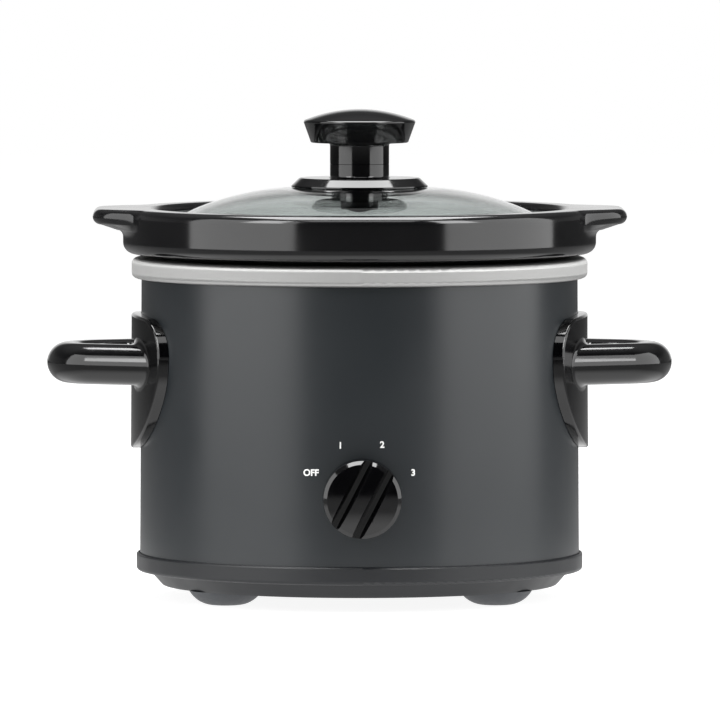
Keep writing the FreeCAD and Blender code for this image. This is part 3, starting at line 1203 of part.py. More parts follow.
def build_leads():
    """Crimp caps for the cord's cores, and the leads between caps, fuse, switch and heater."""
    caps = []
    for side in (-1, 1):
        cap = doc.addObject("PartDesign::Body", f"crimp_cap_{side + 1}")
        revolve(cap, f"crimp_cap_form_{side + 1}", [
            ("0", "0"), ("cap_radius - cap_edge", "0", "cap_edge", 1), ("cap_radius", "cap_edge"),
            ("cap_radius", "cap_length"), ("0", "cap_length"),
        ])
        bind(cap, "Placement.Base.x", f"{side} * cap_spread")
        bind(cap, "Placement.Base.y", "cap_place")
        bind(cap, "Placement.Base.z", f"{TRAY_FLOOR} + assembly_gap")
        caps.append(cap)
    group("crimp_caps", caps)
    gap = value("assembly_gap")
    cap_top = value(f"{TRAY_FLOOR} + cap_length + assembly_gap") + gap
    spread, cap_y = value("cap_spread"), value("cap_place")
    blade_y = value(f"-{DIAL_FACE} + switch_front_gap + switch_depth + blade_length") + gap
    pitch, blade_z = value("blade_pitch"), value(DIAL_HEIGHT)
    reach, tab_z = value(tab_radius()), value(f"{HEATER_FOOT} - blade_length") - gap
    swing = math.radians(value("tab_angle"))
    tab_x, tab_y = reach * math.sin(swing), reach * math.cos(swing)
    fuse_x, fuse_y, fuse_z = value("fuse_length") / 2 + gap, value("fuse_place"), value(FUSE_HEIGHT)
    build_lead("lead_low", [
        (-pitch, blade_y, blade_z), (-pitch, blade_y + 8, blade_z), (-22, -48, 40), (-38, -14, 35),
        (-46, 22, 34), (-42, 52, 37), (-tab_x - 2, tab_y - 6, 46), (-tab_x, tab_y, tab_z - 8),
        (-tab_x, tab_y, tab_z),
    ])
    build_lead("lead_high", [
        (pitch, blade_y, blade_z), (pitch, blade_y + 8, blade_z), (22, -48, 40), (38, -14, 35),
        (46, 22, 34), (42, 52, 37), (tab_x + 2, tab_y - 6, 46), (tab_x, tab_y, tab_z - 8),
        (tab_x, tab_y, tab_z),
    ])
    build_lead("lead_supply", [
        (0, blade_y, blade_z), (0, blade_y + 5, blade_z), (8, -42, 36), (18, -8, 30),
        (26, 28, 30), (26, 52, 36), (spread, cap_y, cap_top + 9), (spread, cap_y, cap_top),
    ])
    build_lead("lead_fuse", [
        (-fuse_x, fuse_y, fuse_z), (-fuse_x - 5, fuse_y, fuse_z), (-18, fuse_y - 1, 53), (-24, 65, 44),
        (-spread - 1, cap_y, cap_top + 10), (-spread, cap_y, cap_top),
    ])
    build_lead("lead_return", [
        (fuse_x, fuse_y, fuse_z), (fuse_x + 5, fuse_y, fuse_z), (13, 76, 55), (4, reach - 4, 54),
        (0, reach, tab_z - 5), (0, reach, tab_z),
    ])


build_housing()
build_well()
build_tray()
build_feet()
build_crock()
build_lid()
build_lid_knob()
build_handle("handle_right", 0)
build_handle("handle_left", 180)
build_handle_screws()
build_dial()
build_switch()
build_heater()
build_stud()
build_fuse()
build_gland()
build_leads()
doc.recompute()

for thing in doc.Objects:
    if {"Invalid", "Error"} & set(thing.State):
        raise RuntimeError(f"{thing.Label} failed: {thing.State}")
for label, piece in pieces.items():
    if piece.Shape.isNull() or not piece.Shape.isValid() or not piece.Shape.Solids:
        raise RuntimeError(f"{label} has no valid solid")

os.makedirs("parts", exist_ok=True)
for label, piece in pieces.items():
    piece.Shape.exportStep(f"parts/{label}.step")
    print(label, len(piece.Shape.Solids), round(piece.Shape.Volume, 1))
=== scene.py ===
import math

import bmesh
import bpy
from mathutils import Matrix, Vector


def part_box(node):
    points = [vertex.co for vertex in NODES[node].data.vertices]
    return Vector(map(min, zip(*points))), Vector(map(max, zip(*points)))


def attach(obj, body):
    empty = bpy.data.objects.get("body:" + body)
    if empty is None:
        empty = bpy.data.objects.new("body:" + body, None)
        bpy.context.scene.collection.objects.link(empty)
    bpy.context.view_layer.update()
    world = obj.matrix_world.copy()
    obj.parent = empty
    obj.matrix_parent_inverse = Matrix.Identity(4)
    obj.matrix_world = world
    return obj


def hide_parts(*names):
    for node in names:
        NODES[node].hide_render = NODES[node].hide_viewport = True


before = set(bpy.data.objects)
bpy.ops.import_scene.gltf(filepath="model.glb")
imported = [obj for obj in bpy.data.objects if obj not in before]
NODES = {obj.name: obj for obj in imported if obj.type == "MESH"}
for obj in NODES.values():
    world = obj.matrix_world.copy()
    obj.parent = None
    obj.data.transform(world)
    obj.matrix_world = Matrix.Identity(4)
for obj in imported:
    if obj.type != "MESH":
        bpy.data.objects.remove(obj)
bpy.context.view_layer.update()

bl_info = {
    "name": "Slow cooker",
    "version": (1, 0, 0),
    "blender": (4, 5, 0),
    "location": "3D View > Sidebar > Slow cooker",
    "description": "Finishes, lid glass, dial markings and studio for a small round slow cooker",
    "category": "Object",
}

MM = 0.001
LID_LOW, LID_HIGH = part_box("lid_glass")
HOUSING_LOW, HOUSING_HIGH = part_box("outer_housing")
DIAL_LOW, DIAL_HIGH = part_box("control_knob")
CROCK_LOW, CROCK_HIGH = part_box("crock")
WELL_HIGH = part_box("heating_well")[1]
KNOB_LOW, KNOB_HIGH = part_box("lid_knob")


def linear(hex_colour):
    """Linear colour of an sRGB hex value."""
    parts = [int(hex_colour[place:place + 2], 16) / 255 for place in (1, 3, 5)]
    return tuple(part / 12.92 if part <= 0.04045 else ((part + 0.055) / 1.055) ** 2.4 for part in parts)


def rgba(colour):
    """Colour with full opacity, as shader sockets want it."""
    return (*colour, 1.0)


def colour_property(name, description, hex_colour):
    """Colour setting with an sRGB hex default."""
    return bpy.props.FloatVectorProperty(
        name=name, description=description, subtype="COLOR", size=3, min=0, max=1,
        default=linear(hex_colour))


def length_property(name, description, metres):
    """Length setting in metres."""
    return bpy.props.FloatProperty(
        name=name, description=description, default=metres, precision=4, subtype="DISTANCE", unit="LENGTH")


class CookerColours(bpy.types.PropertyGroup):
    """Colours of the cooker's finishes."""

    paint: colour_property("Housing paint", "Satin paint on the sheet steel housing", "#1F2326")
    glaze: colour_property("Crock glaze", "Gloss glaze on the stoneware crock", "#0F0F10")
    phenolic: colour_property("Gloss plastic", "Lid knob, dial and side handles", "#050506")
    ring: colour_property("Ring metal", "Brushed rim ring and heated well", "#C8C8C7")
    tray: colour_property("Base plastic", "Moulded base tray", "#181A1D")
    foot: colour_property("Foot rubber", "Push-in feet", "#46484B")
    glass: colour_property("Lid glass", "Tint of the clear lid", "#E2E8E6")
    ink: colour_property("Marking ink", "Printed settings round the dial", "#F2F2F0")


class CookerSizes(bpy.types.PropertyGroup):
    """Sizes of the pieces that are made here."""

    glass_thickness: length_property("Glass thickness", "Wall of the lid", 4.0 * MM)
    lid_flange: length_property("Lid rim", "Flat rim of the lid", 12.5 * MM)
    lid_step: length_property("Lid step", "Shoulder's foot above the flat rim", 0.4 * MM)
    lid_blend: length_property("Lid blend", "Run of the shoulder's foot into the rim", 2.0 * MM)
    lid_blend_radius: length_property("Lid blend radius", "Round of the shoulder's foot", 3.0 * MM)
    lid_hole: length_property("Lid hole", "Radius of the hole for the knob's screw", 4.0 * MM)
    crown_radius: length_property("Crown radius", "Flat crown of the lid's dome", 420.0 * MM)
    crown_edge: length_property("Crown edge", "Where the crown meets the shoulder", 38.0 * MM)
    shoulder_radius: length_property("Shoulder radius", "Rounder shoulder of the dome", 125.0 * MM)
    glass_edge: length_property("Glass edge", "Fire polished edge of the lid", 1.9 * MM)
    cap_under: length_property("Cap underside", "Radius of the knob's cap at its underside", 22.1 * MM)
    cap_height: length_property("Cap height", "Flared side of the knob's cap", 10.0 * MM)
    cap_crown: length_property("Cap crown", "Domed top of the knob's cap", 5.2 * MM)
    cap_edge: length_property("Cap edge", "Rounding of the cap's edges", 1.1 * MM)
    neck_radius: length_property("Neck", "Radius of the knob's neck", 13.45 * MM)
    neck_fillet: length_property("Neck fillet", "Neck into the cap", 1.5 * MM)
    spigot_radius: length_property("Spigot recess", "Radius of the recess under the neck", 9.1 * MM)
    spigot_depth: length_property("Spigot depth", "Depth of the recess under the neck", 2.1 * MM)
    insert_radius: length_property("Insert bore", "Radius of the bore for the insert", 4.1 * MM)
    insert_depth: length_property("Insert depth", "Depth of the bore for the insert", 9.1 * MM)
    crock_top: length_property("Crock wall, top", "Outside of the crock wall under the rim", 86.5 * MM)
    crock_foot: length_property("Crock wall, foot", "Outside of the crock wall at its foot", 83.0 * MM)
    crock_wall: length_property("Crock wall", "Thickness of the stoneware wall", 6.5 * MM)
    crock_floor: length_property("Crock floor", "Thickness of the stoneware floor", 8.0 * MM)
    outer_corner: length_property("Outer corner", "Outside corner of the crock floor", 12.0 * MM)
    inner_corner: length_property("Inner corner", "Inside corner of the crock floor", 14.0 * MM)
    foot_hollow: length_property("Foot hollow", "Hollow inside the crock's foot ring", 1.2 * MM)
    foot_ring: length_property("Foot ring", "Flat of the crock's foot ring", 10.8 * MM)
    seat_play: length_property("Seat play", "Play under the lid and above the ring", 0.3 * MM)
    seat_margin: length_property("Seat margin", "Seat on the ring past the recess wall", 2.0 * MM)
    rim_lift: length_property("Rim lift", "Underside of the rim's roll above the seat", 1.7 * MM)
    ledge_edge: length_property("Ledge edge", "Rounding of the lid ledge's corners", 1.5 * MM)
    recess_gap: length_property("Recess gap", "Lid edge to the recess wall", 2.5 * MM)
    rim_edge: length_property("Rim edge", "Rounding of the rim's upper inner edge", 2.2 * MM)
    rim_brow: length_property("Rim brow", "Rounding of the rim's upper outer edge", 3.8 * MM)
    rim_roll: length_property("Rim roll", "Rounding of the rim's lower edge", 5.0 * MM)
    lug_half_width: length_property("Lug tip", "Half of the lug's even tip", 13.0 * MM)
    lug_blend: length_property("Lug blend", "Run of the lug's side into the rim", 27.0 * MM)
    lug_tip: length_property("Lug tip height", "Lug at its round tip", 7.0 * MM)
    lug_root: length_property("Lug root height", "Lug where it meets the rim", 9.6 * MM)
    lug_fillet: length_property("Lug fillet", "Round corner under the lug", 3.5 * MM)
    dial_depth: length_property("Dial depth", "Housing to the middle of the dial's face", 15.0 * MM)
    dial_gap: length_property("Dial gap", "Housing to the dial's skirt", 0.9 * MM)
    dial_draft: length_property("Dial draft", "Skirt radius lost towards the face", 0.4 * MM)
    dial_edge: length_property("Dial edge", "Chamfer round the dial's face", 1.6 * MM)
    dial_dome: length_property("Dial dome", "Middle of the dial's face above its edge", 1.6 * MM)
    dial_wall: length_property("Dial wall", "Skirt of the dial", 1.8 * MM)
    dial_hollow: length_property("Dial hollow", "Depth of the hollow behind the face", 7.5 * MM)
    boss_radius: length_property("Boss", "Boss round the shaft", 5.5 * MM)
    boss_foot: length_property("Boss foot", "Housing to the boss", 5.2 * MM)
    shaft_bore: length_property("Shaft bore", "Radius of the bore for the shaft", 3.05 * MM)
    shaft_end: length_property("Bore end", "Housing to the end of the bore", 12.0 * MM)
    bar_top: length_property("Bar top", "Half of the grip bar at its top", 2.8 * MM)
    bar_foot: length_property("Bar foot", "Half of the grip bar at the groove's floor", 4.4 * MM)
    groove_foot: length_property("Groove foot", "Far side of the groove at its floor", 6.6 * MM)
    groove_top: length_property("Groove top", "Far side of the groove at the face", 8.4 * MM)
    groove_depth: length_property("Groove depth", "Grooves beside the grip bar", 6.0 * MM)
    groove_bevel: length_property("Groove bevel", "Rounding of the dial's edges", 0.4 * MM)
    bar_angle: bpy.props.FloatProperty(
        name="Bar angle", description="Grip bar clockwise from upright", subtype="ANGLE",
        default=math.radians(27.5))
    housing_taper: length_property("Housing taper", "Housing radius lost from foot to top", 0.9 * MM)
    marking_height: length_property("Marking height", "Capital height of the settings", 2.9 * MM)
    marking_circle: length_property("Marking circle", "Dial centre to the settings", 25.4 * MM)


class CookerStage(bpy.types.PropertyGroup):
    """Camera and light of the studio."""

    camera_distance: length_property("Camera distance", "Camera before the cooker's axis", 4.66)
    camera_height: length_property("Camera height", "Camera above the floor", 0.359)
    camera_side: length_property("Camera side", "Camera left of the axis", -0.055)
    aim_side: length_property("Aim side", "Sideways place that the camera looks at", 0.0002)
    aim_height: length_property("Aim height", "Height that the camera looks at", 0.1084)
    lens: bpy.props.FloatProperty(
        name="Lens", description="Focal length on a 36 mm sensor", default=512.0, subtype="DISTANCE_CAMERA")
    softbox_power: bpy.props.FloatProperty(
        name="Softbox power", description="Light of a softbox per square metre", subtype="POWER",
        default=7.8)
    ambient: bpy.props.FloatProperty(
        name="Ambient", description="Even light from the white room", default=0.32, min=0, subtype="FACTOR")


def add_node(tree, kind, inputs=None, **settings):
    """Node with its settings, and its inputs set to values or linked to sockets."""
    node = tree.nodes.new(kind)
    for name, setting in settings.items():
        setattr(node, name, setting)
    for socket, given in (inputs or {}).items():
        if isinstance(given, bpy.types.NodeSocket):
            tree.links.new(given, node.inputs[socket])
        else:
            node.inputs[socket].default_value = given
    return node


def new_material(name, colour, roughness, metallic=0.0, ior=None):
    """Principled material with its constant values on the shader itself."""
    material = bpy.data.materials.new(name)
    material.use_nodes = True
    tree = material.node_tree
    shader = tree.nodes["Principled BSDF"]
    shader.inputs["Base Color"].default_value = rgba(colour)
    shader.inputs["Roughness"].default_value = roughness
    shader.inputs["Metallic"].default_value = metallic
    if ior:
        shader.inputs["IOR"].default_value = ior
    return material, tree, shader


def object_noise(tree, grain, detail=2.0, stretch=(1.0, 1.0, 1.0)):
    """Noise in the object's own space, whose cells are about one grain across."""
    place = add_node(tree, "ShaderNodeTexCoord")
    scaled = add_node(tree, "ShaderNodeMapping", {"Vector": place.outputs["Object"], "Scale": stretch})
    return add_node(tree, "ShaderNodeTexNoise", {
        "Vector": scaled.outputs["Vector"], "Scale": 1 / grain, "Detail": detail})


def vary_roughness(tree, shader, noise, low, high):
    """Roughness that drifts between two values with a noise."""
    spread = add_node(tree, "ShaderNodeMapRange", {
        "Value": noise.outputs["Fac"], "From Min": 0.35, "From Max": 0.65, "To Min": low, "To Max": high})
    tree.links.new(spread.outputs["Result"], shader.inputs["Roughness"])


def vary_colour(tree, shader, noise, dark, light):
    """Colour that drifts between two shades with a noise."""
    blend = add_node(tree, "ShaderNodeMix", {
        "Factor": noise.outputs["Fac"], "A": rgba(dark), "B": rgba(light)}, data_type="RGBA")
    tree.links.new(blend.outputs["Result"], shader.inputs["Base Color"])


def raise_bump(tree, shader, noise, depth, strength=1.0):
    """Bump of a real depth from a noise."""
    bump = add_node(tree, "ShaderNodeBump", {
        "Height": noise.outputs["Fac"], "Distance": depth, "Strength": strength})
    tree.links.new(bump.outputs["Normal"], shader.inputs["Normal"])


def shade(colour, factor):
    """Colour made darker or lighter."""
    return tuple(min(1.0, part * factor) for part in colour)


def satin_painted_steel(colour):
    """Sheet steel, sprayed with a satin paint: broad soft reflections and a faint spray texture."""
    material, tree, shader = new_material("sheet steel satin sprayed paint", colour, 0.3, ior=1.6)
    # The spray's orange peel is about 1.2 mm from crest to crest and a few microns deep.
    peel = object_noise(tree, 1.2 * MM, 2.0)
    raise_bump(tree, shader, peel, 0.004 * MM, 0.5)
    cloud = object_noise(tree, 30 * MM, 3.0)
    vary_roughness(tree, shader, cloud, 0.28, 0.32)
    vary_colour(tree, shader, cloud, shade(colour, 0.97), shade(colour, 1.03))
    return material


def glazed_stoneware(colour):
    """Stoneware dipped in a gloss glaze: a mirror finish with slow ripples where the glaze pooled."""
    material, tree, shader = new_material("stoneware dipped gloss glaze", colour, 0.12, ior=1.56)
    ripple = object_noise(tree, 14 * MM, 1.0)
    raise_bump(tree, shader, ripple, 0.02 * MM, 0.6)
    cloud = object_noise(tree, 25 * MM, 3.0)
    vary_roughness(tree, shader, cloud, 0.1, 0.14)
    vary_colour(tree, shader, cloud, shade(colour, 0.9), shade(colour, 1.15))
    return material


def moulded_phenolic(colour):
    """Phenolic resin from a polished mould: a deep black gloss with a faint mould texture."""
    material, tree, shader = new_material("phenolic resin polished moulding", colour, 0.09, ior=1.56)
    peel = object_noise(tree, 2.5 * MM, 1.0)
    raise_bump(tree, shader, peel, 0.003 * MM, 0.2)
    cloud = object_noise(tree, 9 * MM, 3.0)
    vary_roughness(tree, shader, cloud, 0.07, 0.12)
    vary_colour(tree, shader, cloud, shade(colour, 0.9), shade(colour, 1.1))
    return material


def brushed_aluminium(colour):
    """Aluminium brushed up and down: fine upright lines that draw each highlight out sideways."""
    material, tree, shader = new_material("aluminium brushed upright", colour, 0.6, metallic=1.0)
    place = add_node(tree, "ShaderNodeTexCoord")
    parts = add_node(tree, "ShaderNodeSeparateXYZ", {"Vector": place.outputs["Object"]})
    angle = add_node(tree, "ShaderNodeMath", {
        0: parts.outputs["Y"], 1: parts.outputs["X"]}, operation="ARCTAN2")
    # Real scratches are about 0.05 mm wide; 0.7 mm is as coarse as they need to be to show.
    lines = add_node(tree, "ShaderNodeMath", {
        0: angle.outputs[0], 1: WELL_HIGH.x / (0.7 * MM)}, operation="MULTIPLY")
    along = add_node(tree, "ShaderNodeMath", {0: parts.outputs["Z"], 1: 1 / (9 * MM)}, operation="MULTIPLY")
    grain = add_node(tree, "ShaderNodeCombineXYZ", {"X": lines.outputs[0], "Y": along.outputs[0]})
    scratch = add_node(tree, "ShaderNodeTexNoise", {
        "Vector": grain.outputs["Vector"], "Scale": 1.0, "Detail": 3.0, "Roughness": 0.7})
    vary_roughness(tree, shader, scratch, 0.54, 0.66)
    vary_colour(tree, shader, scratch, shade(colour, 0.84), shade(colour, 1.1))
    raise_bump(tree, shader, scratch, 0.01 * MM, 0.4)
    shader.inputs["Anisotropic"].default_value = 0.75
    turn = add_node(tree, "ShaderNodeTangent", direction_type="RADIAL", axis="Z")
    tree.links.new(turn.outputs["Tangent"], shader.inputs["Tangent"])
    return material


def grained_polypropylene(colour):
    """Polypropylene from a spark eroded mould: a fine even grain and a soft sheen."""
    material, tree, shader = new_material("polypropylene grained moulding", colour, 0.42, ior=1.49)
    # The grain is about 0.15 mm; 0.5 mm is as coarse as it needs to be to show.
    grain = object_noise(tree, 0.5 * MM, 2.0)
    raise_bump(tree, shader, grain, 0.02 * MM, 0.4)
    cloud = object_noise(tree, 20 * MM, 3.0)
    vary_roughness(tree, shader, cloud, 0.38, 0.46)
    vary_colour(tree, shader, cloud, shade(colour, 0.95), shade(colour, 1.05))
    return material


def moulded_rubber(colour):
    """Rubber moulded with a dull skin, a little dusty."""
    material, tree, shader = new_material("rubber dull moulding", colour, 0.6, ior=1.52)
    dust = object_noise(tree, 1.5 * MM, 4.0)
    vary_colour(tree, shader, dust, shade(colour, 0.9), shade(colour, 1.15))
    vary_roughness(tree, shader, dust, 0.52, 0.68)
    raise_bump(tree, shader, dust, 0.03 * MM, 0.4)
    return material


def pressed_glass(colour):
    """Soda lime glass, pressed and tempered: clear, with the slow waves that pressing leaves."""
    material, tree, shader = new_material("soda lime glass pressed", colour, 0.0, ior=1.52)
    shader.inputs["Transmission Weight"].default_value = 1.0
    wave = object_noise(tree, 40 * MM, 1.0)
    raise_bump(tree, shader, wave, 0.05 * MM, 0.25)
    return material


def printed_ink(colour):
    """Pad printed ink: a thin matt white film with slightly uneven cover."""
    material, tree, shader = new_material("pad printed white ink", colour, 0.45, ior=1.5)
    cover = object_noise(tree, 0.6 * MM, 3.0)
    vary_colour(tree, shader, cover, shade(colour, 0.92), colour)
    return material


def plated_metal(name, hex_colour, roughness):
    """Small metal piece, plated or machined: a dull metal with patches of different sheen."""
    colour = linear(hex_colour)
    material, tree, shader = new_material(name, colour, roughness, metallic=1.0)
    patch = object_noise(tree, 3 * MM, 4.0)
    vary_colour(tree, shader, patch, shade(colour, 0.8), shade(colour, 1.1))
    vary_roughness(tree, shader, patch, roughness - 0.08, roughness + 0.1)
    return material


def dull_moulding(name, hex_colour, roughness):
    """Small moulded or extruded piece with a dull, slightly mottled skin."""
    colour = linear(hex_colour)
    material, tree, shader = new_material(name, colour, roughness, ior=1.5)
    mottle = object_noise(tree, 1.2 * MM, 3.0)
    vary_colour(tree, shader, mottle, shade(colour, 0.88), shade(colour, 1.12))
    raise_bump(tree, shader, mottle, 0.02 * MM, 0.3)
    return material


def dress(names, material):
    """Give CAD nodes a finish; their own normals keep rounds smooth and edges true."""
    for name in names:
        node = NODES[name]
        node.data.materials.clear()
        node.data.materials.append(material)


def link_piece(piece, body, slot, *replaced):
    """Add a new piece to the scene on its body, and hide the nodes it stands for. The slot is not used."""
    bpy.context.scene.collection.objects.link(piece)
    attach(piece, body)
    if replaced:
        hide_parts(*replaced)


def arc_points(start, end, radius, turn, steps):
    """Points from start to just before end on an arc, turning left for +1 and right for -1."""
    start, end = Vector(start), Vector(end)
    chord = end - start
    left = Vector((-chord.y, chord.x)).normalized()
    rise = math.sqrt(max(radius**2 - (chord.length / 2) ** 2, 0))
    middle = (start + end) / 2 + left * rise * turn
    first = math.atan2(start.y - middle.y, start.x - middle.x)
    sweep = 2 * math.asin(min(1, chord.length / 2 / radius)) * turn
    angles = [first + sweep * step / steps for step in range(steps)]
    return [(middle.x + radius * math.cos(angle), middle.y + radius * math.sin(angle)) for angle in angles]


def lathe(name, outline_at, segments, closed):
    """Mesh of an outline of (radius, height) points, which may change with the angle, turned about Z."""
    mesh = bpy.data.meshes.new(name)
    shape = bmesh.new()
    on_axis = {}
    rings = []
    for step in range(segments):
        angle = 2 * math.pi * step / segments
        ring = []
        for index, (radius, height) in enumerate(outline_at(angle)):
            if radius == 0 and index not in on_axis:
                on_axis[index] = shape.verts.new((0, 0, height))
            place = (radius * math.cos(angle), radius * math.sin(angle), height)
            ring.append(on_axis[index] if radius == 0 else shape.verts.new(place))
        rings.append(ring)
    for ring, after in zip(rings, rings[1:] + rings[:1]):
        for index in range(len(ring) if closed else len(ring) - 1):
            following = (index + 1) % len(ring)
            corners = (ring[index], after[index], after[following], ring[following])
            shape.faces.new(dict.fromkeys(corners))
    bmesh.ops.recalc_face_normals(shape, faces=shape.faces)
    for face in shape.faces:
        face.smooth = True
    shape.to_mesh(mesh)
    shape.free()
    mesh.set_sharp_from_angle(angle=math.radians(35))
    return mesh


def spread(first, last, count):
    """Evenly spread numbers, with both ends."""
    return [first + (last - first) * step / (count - 1) for step in range(count)]


def soft_step(share):
    """Smooth rise from 0 to 1."""
    return 0.5 - 0.5 * math.cos(math.pi * min(1, max(0, share)))


def lug_outline(sizes, reach, wall):
    """Section of a lug as (beyond the rim, below its top) points, up the rim and round the tip."""
    fillet, root, tip = sizes.lug_fillet, sizes.lug_root, sizes.lug_tip
    nose = tip / 2
    points = [(0, drop) for drop in spread(wall, root + fillet, 6)[:-1]]
    for turn in spread(0, math.pi / 2, 9):
        points.append((fillet * (1 - math.cos(turn)), root + fillet * (1 - math.sin(turn))))
    for share in spread(0, 1, 7)[1:-1]:
        points.append((fillet + (reach - nose - fillet) * share, root + (tip - root) * share))
    for turn in spread(0, math.pi, 17):
        points.append((reach - nose + nose * math.sin(turn), nose + nose * math.cos(turn)))
    return points


def crock_outline(sizes, angle):
    """Section of the crock at an angle, whose rim swells into a lug at each side."""
    foot, top, rim = CROCK_LOW.z, CROCK_HIGH.z, CROCK_HIGH.y
    across = rim * abs(math.asin(math.sin(angle)))
    lug = 1 - soft_step((across - sizes.lug_half_width) / sizes.lug_blend)
    # The tip is straight across; past this cosine the lug has already sunk into the rim.
    tip_end = 0.9
    reach = CROCK_HIGH.x / max(abs(math.cos(angle)), tip_end) - rim
    ledge = LID_LOW.z - sizes.seat_play
    seat = WELL_HIGH.z + sizes.seat_play
    recess = LID_HIGH.x + sizes.recess_gap
    edge, brow, roll, pool = sizes.rim_edge, sizes.rim_brow, sizes.rim_roll, sizes.ledge_edge
    hollow = foot + sizes.foot_hollow
    outer, corner = sizes.outer_corner, sizes.inner_corner
    ring = sizes.crock_foot - outer
    ring_inside = ring - sizes.foot_ring
    side = seat + sizes.rim_lift + roll
    mouth, bowl = sizes.crock_top - sizes.crock_wall, sizes.crock_foot - sizes.crock_wall
    floor = foot + sizes.crock_floor
    points = [(0, hollow), (ring_inside - sizes.foot_hollow, hollow), (ring_inside, foot)]
    points += arc_points((ring, foot), (sizes.crock_foot, foot + outer), outer, 1, 8)
    points += [(sizes.crock_foot, foot + outer), (sizes.crock_top, seat)]
    points += [(recess + sizes.seat_margin, seat)]
    points += arc_points((rim - roll, side - roll), (rim, side), roll, 1, 8)
    for beyond, drop in lug_outline(sizes, reach, top - side):
        rounding = brow - math.sqrt(brow**2 - max(0, brow - drop) ** 2)
        points.append((rim + beyond * lug - rounding * (1 - lug), top - drop))
    flat = points[-1][0]
    points += [(flat + (recess + edge - flat) * share, top) for share in (0.15, 0.5)]
    points += arc_points((recess + edge, top), (recess, top - edge), edge, 1, 6)
    points += [(recess, top - edge)]
    points += arc_points((recess, ledge + pool), (recess - pool, ledge), pool, -1, 5)
    points += [(recess - pool, ledge)]
    points += arc_points((mouth + pool, ledge), (mouth, ledge - pool), pool, 1, 5)
    points += [(mouth, ledge - pool)]
    points += arc_points((bowl, floor + corner), (bowl - corner, floor), corner, -1, 10)
    points += [(bowl - corner, floor), (0, floor)]
    return points


def lid_outline(sizes):
    """Section of the lid's glass: hole, crown, shoulder, flat rim and fire polished edge."""
    edge = LID_HIGH.x
    thick = sizes.glass_thickness
    rim_low = LID_LOW.z
    rim_top = rim_low + thick
    foot = edge - sizes.lid_flange
    step, blend, blend_round = sizes.lid_step, sizes.lid_blend, sizes.lid_blend_radius
    crown_sine = sizes.crown_edge / sizes.crown_radius
    shoulder_sine = crown_sine + (foot - sizes.crown_edge) / sizes.shoulder_radius
    crown_cosine = math.sqrt(1 - crown_sine**2)
    shoulder_cosine = math.sqrt(1 - shoulder_sine**2)
    crown_height = rim_top + step + sizes.shoulder_radius * (crown_cosine - shoulder_cosine)
    hole_height = crown_height + math.sqrt(sizes.crown_radius**2 - sizes.lid_hole**2)
    hole_height -= sizes.crown_radius * crown_cosine
    polish = sizes.glass_edge
    hole = (sizes.lid_hole, hole_height)
    crown = (sizes.crown_edge, crown_height)
    shoulder = (foot, rim_top + step)
    points = arc_points(hole, crown, sizes.crown_radius, -1, 12)
    points += arc_points(crown, shoulder, sizes.shoulder_radius, -1, 18)
    points += arc_points(shoulder, (foot + blend, rim_top), blend_round, 1, 4)
    points += [(foot + blend, rim_top)]
    points += arc_points((edge - polish, rim_top), (edge, rim_top - polish), polish, -1, 6)
    points += arc_points((edge, rim_low + polish), (edge - polish, rim_low), polish, -1, 6)
    points += [(edge - polish, rim_low)]
    lower = [(x, y - thick) for x, y in (hole, crown, shoulder)]
    points += arc_points((foot + blend, rim_low), lower[2], blend_round, -1, 4)
    points += arc_points(lower[2], lower[1], sizes.shoulder_radius, 1, 18)
    points += arc_points(lower[1], lower[0], sizes.crown_radius, 1, 12)
    points += [lower[0]]
    return points


def round_corner(before, corner, after, reach):
    """Points of a soft corner that leaves both sides at the same reach from the corner."""
    before, corner, after = Vector(before), Vector(corner), Vector(after)
    start = corner + (before - corner).normalized() * reach
    end = corner + (after - corner).normalized() * reach
    points = []
    for share in spread(0, 1, 7):
        rest = 1 - share
        points.append(tuple(start * rest**2 + corner * 2 * share * rest + end * share**2))
    return points


def knob_outline(sizes):
    """Section of the lid's knob, from its bore round neck and flared cap to the middle of its crown."""
    foot, top = KNOB_LOW.z, KNOB_HIGH.z
    brow = top - sizes.cap_crown
    under = brow - sizes.cap_height
    recess = foot + sizes.spigot_depth
    bore_end = recess + sizes.insert_depth
    widest, lower, neck, fillet = KNOB_HIGH.x, sizes.cap_under, sizes.neck_radius, sizes.neck_fillet
    sphere = (widest**2 + sizes.cap_crown**2) / (2 * sizes.cap_crown)
    crown = arc_points((widest, brow), (0, top), sphere, 1, 24)
    points = [(0, bore_end), (sizes.insert_radius, bore_end), (sizes.insert_radius, recess)]
    points += [(sizes.spigot_radius, recess), (sizes.spigot_radius, foot), (neck, foot)]
    points += arc_points((neck, under - fillet), (neck + fillet, under), fillet, -1, 8)
    points += round_corner((neck + fillet, under), (lower, under), (widest, brow), sizes.cap_edge / 2)
    points += round_corner((lower, under), (widest, brow), crown[1], sizes.cap_edge)
    return points + crown[2:] + [(0, top)]


def dial_outline(sizes):
    """Section of the dial as (radius, beyond the housing) points, from its bore to its face's middle."""
    radius = (DIAL_HIGH.x - DIAL_LOW.x) / 2
    rim = radius - sizes.dial_draft
    face = rim - sizes.dial_edge
    brow = sizes.dial_depth - sizes.dial_dome
    sphere = (face**2 + sizes.dial_dome**2) / (2 * sizes.dial_dome)
    skirt = radius - sizes.dial_wall
    points = [(0, sizes.shaft_end), (sizes.shaft_bore, sizes.shaft_end)]
    points += [(sizes.shaft_bore, sizes.boss_foot), (sizes.boss_radius, sizes.boss_foot)]
    points += [(sizes.boss_radius, sizes.dial_hollow)]
    points += [(skirt, sizes.dial_hollow), (skirt, sizes.dial_gap), (radius, sizes.dial_gap)]
    points += [(rim, brow - sizes.dial_edge)]
    points += arc_points((face, brow), (0, sizes.dial_depth), sphere, 1, 20)
    return points + [(0, sizes.dial_depth)]


